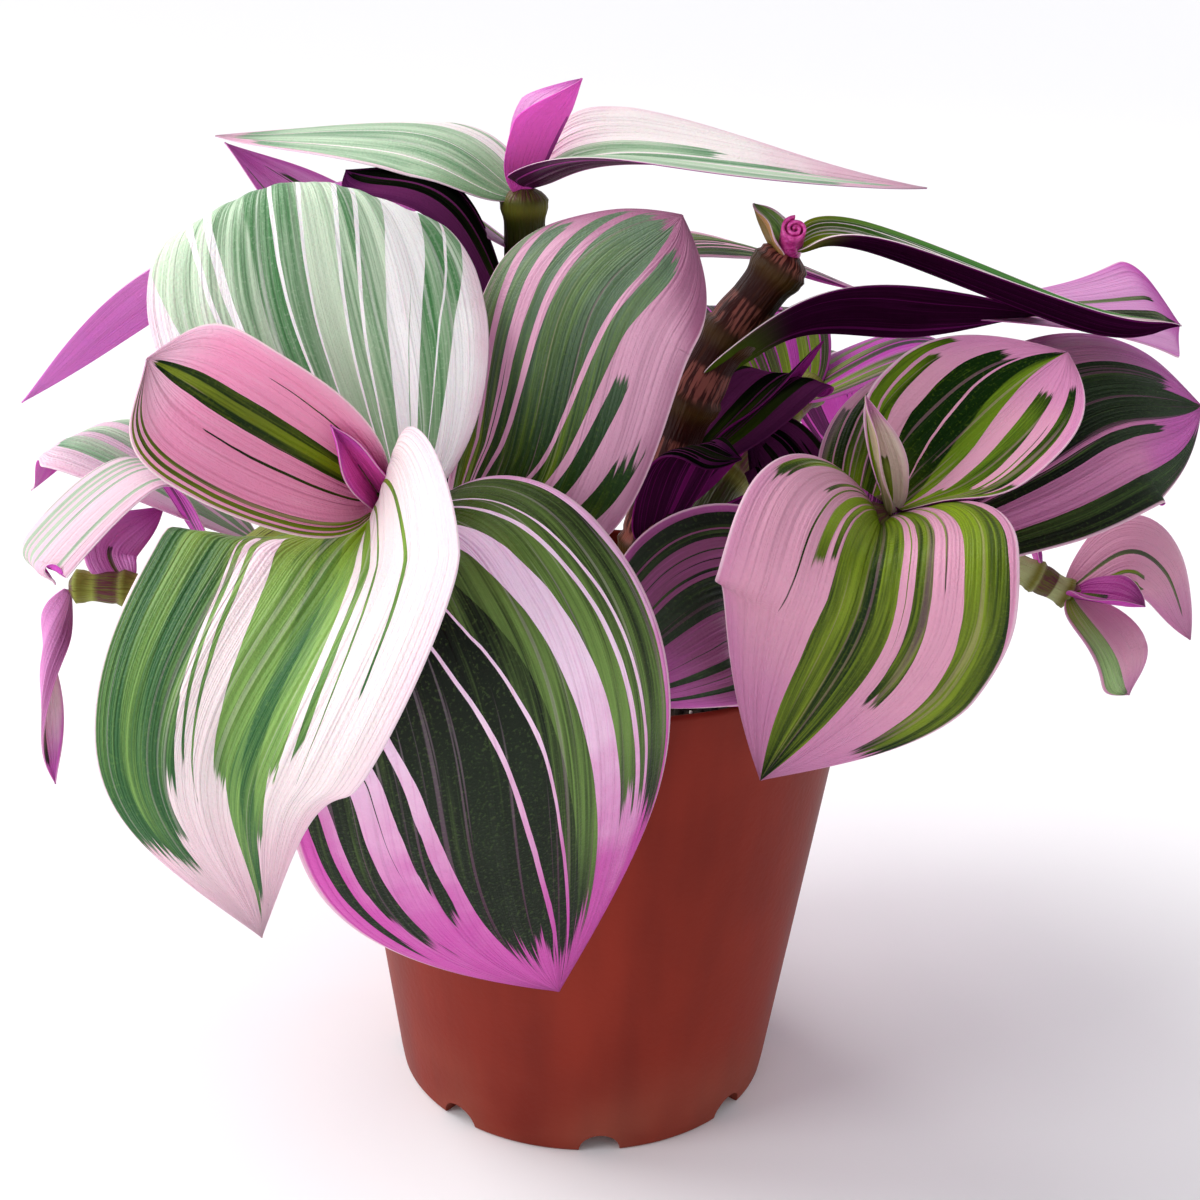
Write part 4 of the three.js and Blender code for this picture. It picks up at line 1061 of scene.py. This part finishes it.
grow_leaf(
    thick, "thick_collar", at=0.97, width=12, heading=170, tip=(23, -2, 154), roll=(-10, -10), fold=(30, 20),
    rounding=0.5, taper=1.6, stripes=[(0.1, 0.9, 1.0, 0.3)],
    tissue=SUNLIT | {"olive": "#a08a3a", "magenta": "#b98a58", "plum": "#87702f"},
)
grow_leaf(
    thick, "inner_left", at=0.3, width=16, via=[(14, -16, 118)], tip=(22, -20, 118), cup=(-10, -20), tissue=SHADED,
)
grow_leaf(thick, "thick_back", at=0.46, width=28, via=[(26, 18, 122)], tip=(38, 40, 114), belly=0.45, **HIDDEN)
grow_leaf(
    thick, "thick_inner", at=0.35, width=24, via=[(22, 12, 111)], tip=(38, 20, 128), roll=(-50, -50), belly=0.45,
    **HIDDEN,
)
grow_leaf(
    thick, "thick_inner_low", at=0.2, width=24, via=[(26, 8, 100)], tip=(46, 18, 108), roll=(-50, -50), belly=0.45,
    **HIDDEN,
)

SCROLL_BASE = np.array((29.0, -4.0, 147.0))
SCROLL_TIP = np.array((29.0, -9.5, 151.5))
SCROLL_RADIUS = 2.3
SCROLL_CORE = 0.45
SCROLL_TURNS = 2.2
SCROLL_SHEET = 0.45
SCROLL_STEPS = 120
SCROLL_ROWS = 9


def scroll_rings():
    """A leaf rolled into a spiral: the radius shrinks evenly over the turns, from the outside to the core, and the
    sheet is a little thick. Each ring is the section of the sheet at one angle, drawn out along the roll's axis."""
    axis = SCROLL_TIP - SCROLL_BASE
    axis_length = np.linalg.norm(axis)
    axis = axis / axis_length
    side = np.cross(axis, (1.0, 0.0, 0.0))
    side /= np.linalg.norm(side)
    over = np.cross(axis, side)
    share = np.linspace(0, 1, SCROLL_STEPS)
    angle = share * SCROLL_TURNS * 2 * np.pi
    radius = SCROLL_RADIUS - share * (SCROLL_RADIUS - SCROLL_CORE)
    height = np.linspace(0, axis_length, SCROLL_ROWS)
    outer = np.stack(np.broadcast_arrays(radius[:, None], height[None]), -1)
    inner = np.stack(np.broadcast_arrays(radius[:, None] - SCROLL_SHEET, height[None, ::-1]), -1)
    section = np.concatenate((outer, inner), 1)
    way = side * np.cos(angle)[:, None] + over * np.sin(angle)[:, None]
    return SCROLL_BASE + way[:, None] * section[..., :1] + axis * section[..., 1:]


bud, shade = new_material(
    "rolled_bud", Roughness=0.3, Subsurface_Weight=0.3, Subsurface_Radius=(1, 0.3, 0.6), Subsurface_Scale=0.001,
)
veined = place_noise(shade, 1400, 2)
feed(
    bud,
    Base_Color=veined.rise(0.3, 0.7).mix(colour("#b8127c"), colour("#ea5cb6")),
    Normal=bump(shade, veined, 0.0002),
)
scroll_points, scroll_faces = closed_skin(scroll_rings())
scroll = mesh_piece("rolled_leaf", scroll_points, scroll_faces, bud)
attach(scroll, "root")
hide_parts("leaf_thick_scroll")

# ---- Far left shoot: a thin low stem that reaches out past the pot, with small leaves round its end.
# It is green and still soft, and its leaves are narrow: one hangs down dry and twisted, and one curls over.
far_left = grow_stem(
    "far_left", [(-16, 8, 50), (-20, 10, 76), (-46, 15, 95), (-71, 16, 82), (-93, 14, 81.5)],
    radius=(3.5, 2.5), nodes=[0.3, 0.55, 0.85, 0.97], green="#98a548",
)
grow_leaf(
    far_left, "farleft_hanging", at=1.0, width=7.5, via=[(-98, 11, 67)], tip=(-99, 15, 42), roll=(25, 270),
    fold=(20, 20), cup=(10, 50), belly=0.4, taper=3, stripes=[(0.02, 0.3, 0.9, 0.6)], wave=0.1,
    tissue=LILAC | {"pale": "#e9cdd8", "magenta": "#cf86bd", "plum": "#93507f"},
)
grow_leaf(
    far_left, "farleft_curled", at=0.6, width=22, via=[(-76.5, 8.5, 106), (-94, 0, 93.5)], tip=(-91, 0, 87),
    cup=(-10, -20), belly=0.65, rounding=0.7, taper=1.5, skew=0.2,
    tissue=SILVER_SHEEN | {"light": "#a9bba2", "deep": "#5c7a62", "pale": "#dcbcc9"},
    stripes=[
        (0.06, 0.1, 0.6, 0.3), (0.27, 0.35, 0.95, 0.3), (0.39, 0.46, 0.95, 0.4), (0.5, 0.57, 0.93, 0.3),
        (0.62, 0.66, 0.95, 0.4), (0.86, 0.9, 0.8, 0.3),
    ],
)
grow_leaf(
    far_left, "farleft_rear", at=0.5, width=27, via=[(-91.5, 36, 104)], tip=(-107, 40, 91), roll=(0, -8),
    fold=(3, 0), cup=(-9, -20), rounding=0.9, taper=1.4, skew=0.2, tissue=SILVER_SHEEN | {"pale": "#e3c6d4"},
    stripes=[(0.1, 0.3, 0.7, 0.3), (0.4, 0.55, 0.85, 0.3), (0.62, 0.8, 0.6, 0.3)],
)
grow_leaf(
    far_left, "farleft_small", at=0.85, width=10, via=[(-87, 20, 87)], tip=(-80, 32, 91), roll=(40, 40),
    fold=(20, 0), cup=(-10, -20), belly=0.45, taper=2.4, stripes=[(0.45, 0.55, 0.5, 0.6)],
    tissue=LILAC | {"magenta": "#f070dc", "plum": "#c84ab4"},
)

# ---- Far right shoot: a thin pale stem from under the right rosette, with a cluster of small pink leaves.
# It is young growth with little green in it, and all its leaves clasp the last centimetre.
far_right = grow_stem(
    "far_right", [(20, 7, 50), (24, 8, 76), (49, 12, 97), (70, 8, 93), (82, 6, 88)],
    radius=(3.2, 2.2), nodes=[0.4, 0.8, 0.97], green="#a9b27a", flush="#9a8a5a",
)
grow_leaf(
    far_right, "farright_curved", at=0.97, width=17, via=[(90, 6, 96), (97, 5, 93)], tip=(102, 2, 82),
    roll=(35, 35), fold=(5, 0), cup=(-10, -20), taper=2.2, tissue=ROSY | {"deep": "#4a5240"},
    stripes=[(0.05, 0.12, 0.6, 0.5), (0.2, 0.26, 0.55, 0.4), (0.47, 0.53, 0.9, 0.7)],
)
grow_leaf(
    far_right, "farright_low", at=1.0, width=16, via=[(88, -4, 82)], tip=(91, -4, 74), fold=(10, 0),
    stripes=[(0.03, 0.4, 0.95, 0.3)], tissue=ROSY | {"light": "#8fae6c"},
)
grow_leaf(
    far_right, "farright_young", at=1.0, width=10, tip=(89, -12, 93), roll=(20, 20), fold=(40, 30),
    stripes=[(0.4, 0.6, 0.5, 0.5)], tissue=ROSY | {"pale": "#b84aa0", "blush": "#8a2a78"},
)
grow_leaf(
    far_right, "farright_rear", at=0.85, width=13, via=[(77, 10, 92)], tip=(75, 15, 97), roll=(60, 60),
    fold=(10, 0), taper=2.2, tissue=LILAC | {"pale": "#a83a9c", "blush": "#8a2a78"}, stripes=[(0.4, 0.5, 0.9, 0.9)],
)

# ---- Back shoots: two more stems behind, whose leaves hang over the pot's rear rim as the front ones do.
# They are guessed, so their eight leaves are cut to one pattern and have stripes drawn at random.
back_left = grow_stem(
    "back_left", [(-12, 20, 50), (-14, 24, 76), (-26, 38, 94), (-36, 50, 107), (-44, 62, 115)],
    radius=(4.2, 3.0), nodes=[0.4, 0.78, 0.96],
)
back_right = grow_stem(
    "back_right", [(10, 20, 50), (12, 24, 76), (22, 38, 94), (32, 50, 105), (42, 62, 110)],
    radius=(4.2, 3.0), nodes=[0.4, 0.78, 0.96],
)
BACK_LEAVES = [
    (back_left, "backleft_low", 0.97, 44, (-54, 84, 116), (-62, 102, 84), SUNLIT),
    (back_left, "backleft_side", 0.8, 36, (-64, 66, 124), (-92, 78, 100), SILVER_SHEEN),
    (back_left, "backleft_high", 0.75, 40, (-24, 76, 126), (-10, 102, 104), ROSY),
    (back_left, "backleft_rim", 0.4, 36, (-44, 54, 90), (-62, 70, 58), ROSY),
    (back_right, "backright_low", 0.97, 44, (54, 84, 110), (62, 102, 76), DUSKY),
    (back_right, "backright_side", 0.85, 36, (66, 64, 118), (92, 60, 96), MAGENTA_IN_SHADE),
    (back_right, "backright_high", 0.75, 40, (24, 78, 122), (22, 104, 92), MAGENTA_IN_SHADE),
    (back_right, "backright_rim", 0.4, 36, (36, 62, 90), (34, 84, 56), DUSKY),
]
for stem, name, at, width, through, tip, tissue in BACK_LEAVES:
    rise = 5 if name.endswith("rim") else 10
    grow_leaf(
        stem, name, at=at, width=width, via=[through], tip=tip, fold=(rise, -5), cup=(-10, -20),
        belly=0.45, rounding=0.5, taper=2.2, tissue=tissue, wave=0.6,
    )
